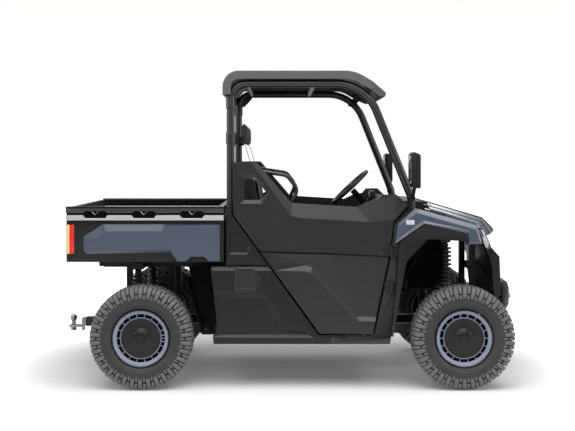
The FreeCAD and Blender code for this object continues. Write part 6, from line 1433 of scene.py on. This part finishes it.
world = bpy.data.worlds.new("studio")
bpy.context.scene.world = world
world.use_nodes = True
air = world.node_tree
surround = air.nodes["Background"]
surround.inputs["Color"].default_value = (1, 1, 1, 1)
path = air.nodes.new("ShaderNodeLightPath")
seen = math_node(air, "MAXIMUM", path.outputs["Is Camera Ray"], path.outputs["Is Transmission Ray"])
seen = math_node(air, "MAXIMUM", seen, math_node(air, "MULTIPLY", path.outputs["Is Glossy Ray"], 0.2))
direct = math_node(air, "MULTIPLY_ADD", seen, 0.76, 0.24)
air.links.new(direct, surround.inputs["Strength"])

floor_mesh = bpy.data.meshes.new("floor")
sheet = bmesh.new()
bmesh.ops.create_circle(sheet, cap_ends=True, segments=96, radius=40.0)
sheet.to_mesh(floor_mesh)
sheet.free()
floor = bpy.data.objects.new("floor", floor_mesh)
bpy.context.scene.collection.objects.link(floor)
floor.location = (0, 0, -0.0005)
pale = bpy.data.materials.new("studio_floor")
pale.use_nodes = True
ground = pale.node_tree
surface = ground.nodes["Principled BSDF"]
surface.inputs["Base Color"].default_value = (0.78, 0.78, 0.79, 1)
surface.inputs["Roughness"].default_value = 0.9
surface.inputs["Specular IOR Level"].default_value = 0.0
place = ground.nodes.new("ShaderNodeTexCoord").outputs["Object"]
away = add_node(ground, "ShaderNodeVectorMath", {0: place}, operation="LENGTH")
fade = add_node(ground, "ShaderNodeMapRange", {"Value": away.outputs["Value"], "From Min": 1.6, "From Max": 2.7,
                                               "To Min": 0.1, "To Max": 1.0}, interpolation_type="SMOOTHSTEP")
path = ground.nodes.new("ShaderNodeLightPath")
ground.links.new(math_node(ground, "MULTIPLY", path.outputs["Is Camera Ray"], fade.outputs["Result"]),
                 surface.inputs["Emission Strength"])
surface.inputs["Emission Color"].default_value = (1, 1, 1, 1)
floor_mesh.materials.append(pale)
floor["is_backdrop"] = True


def soft_light(name, place, aim, size, power):
    data = bpy.data.lights.new(name, "AREA")
    data.shape = "RECTANGLE"
    data.size, data.size_y = size
    data.energy = power
    lamp = bpy.data.objects.new(name, data)
    bpy.context.scene.collection.objects.link(lamp)
    lamp.location = place
    lamp.rotation_euler = (Vector(aim) - Vector(place)).to_track_quat("-Z", "Y").to_euler()


soft_light("ceiling", (0.2, -2.6, 5.2), (0.2, -1.2, 0.8), (7.0, 6.4), 430)
soft_light("near_side", (-1.5, -6.5, 3.2), (0, 0, 0.8), (5.0, 2.2), 20)
soft_light("far_side", (0.5, 5.0, 4.0), (0, 0, 0.9), (5.0, 2.5), 90)
soft_light("nose_side", (5.5, -2.0, 2.4), (0.6, 0, 0.9), (2.5, 2.5), 50)
soft_light("tail_side", (-5.5, -1.5, 2.6), (-0.8, 0, 0.9), (2.5, 2.5), 45)

bpy.context.scene.view_settings.view_transform = "Standard"

low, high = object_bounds()
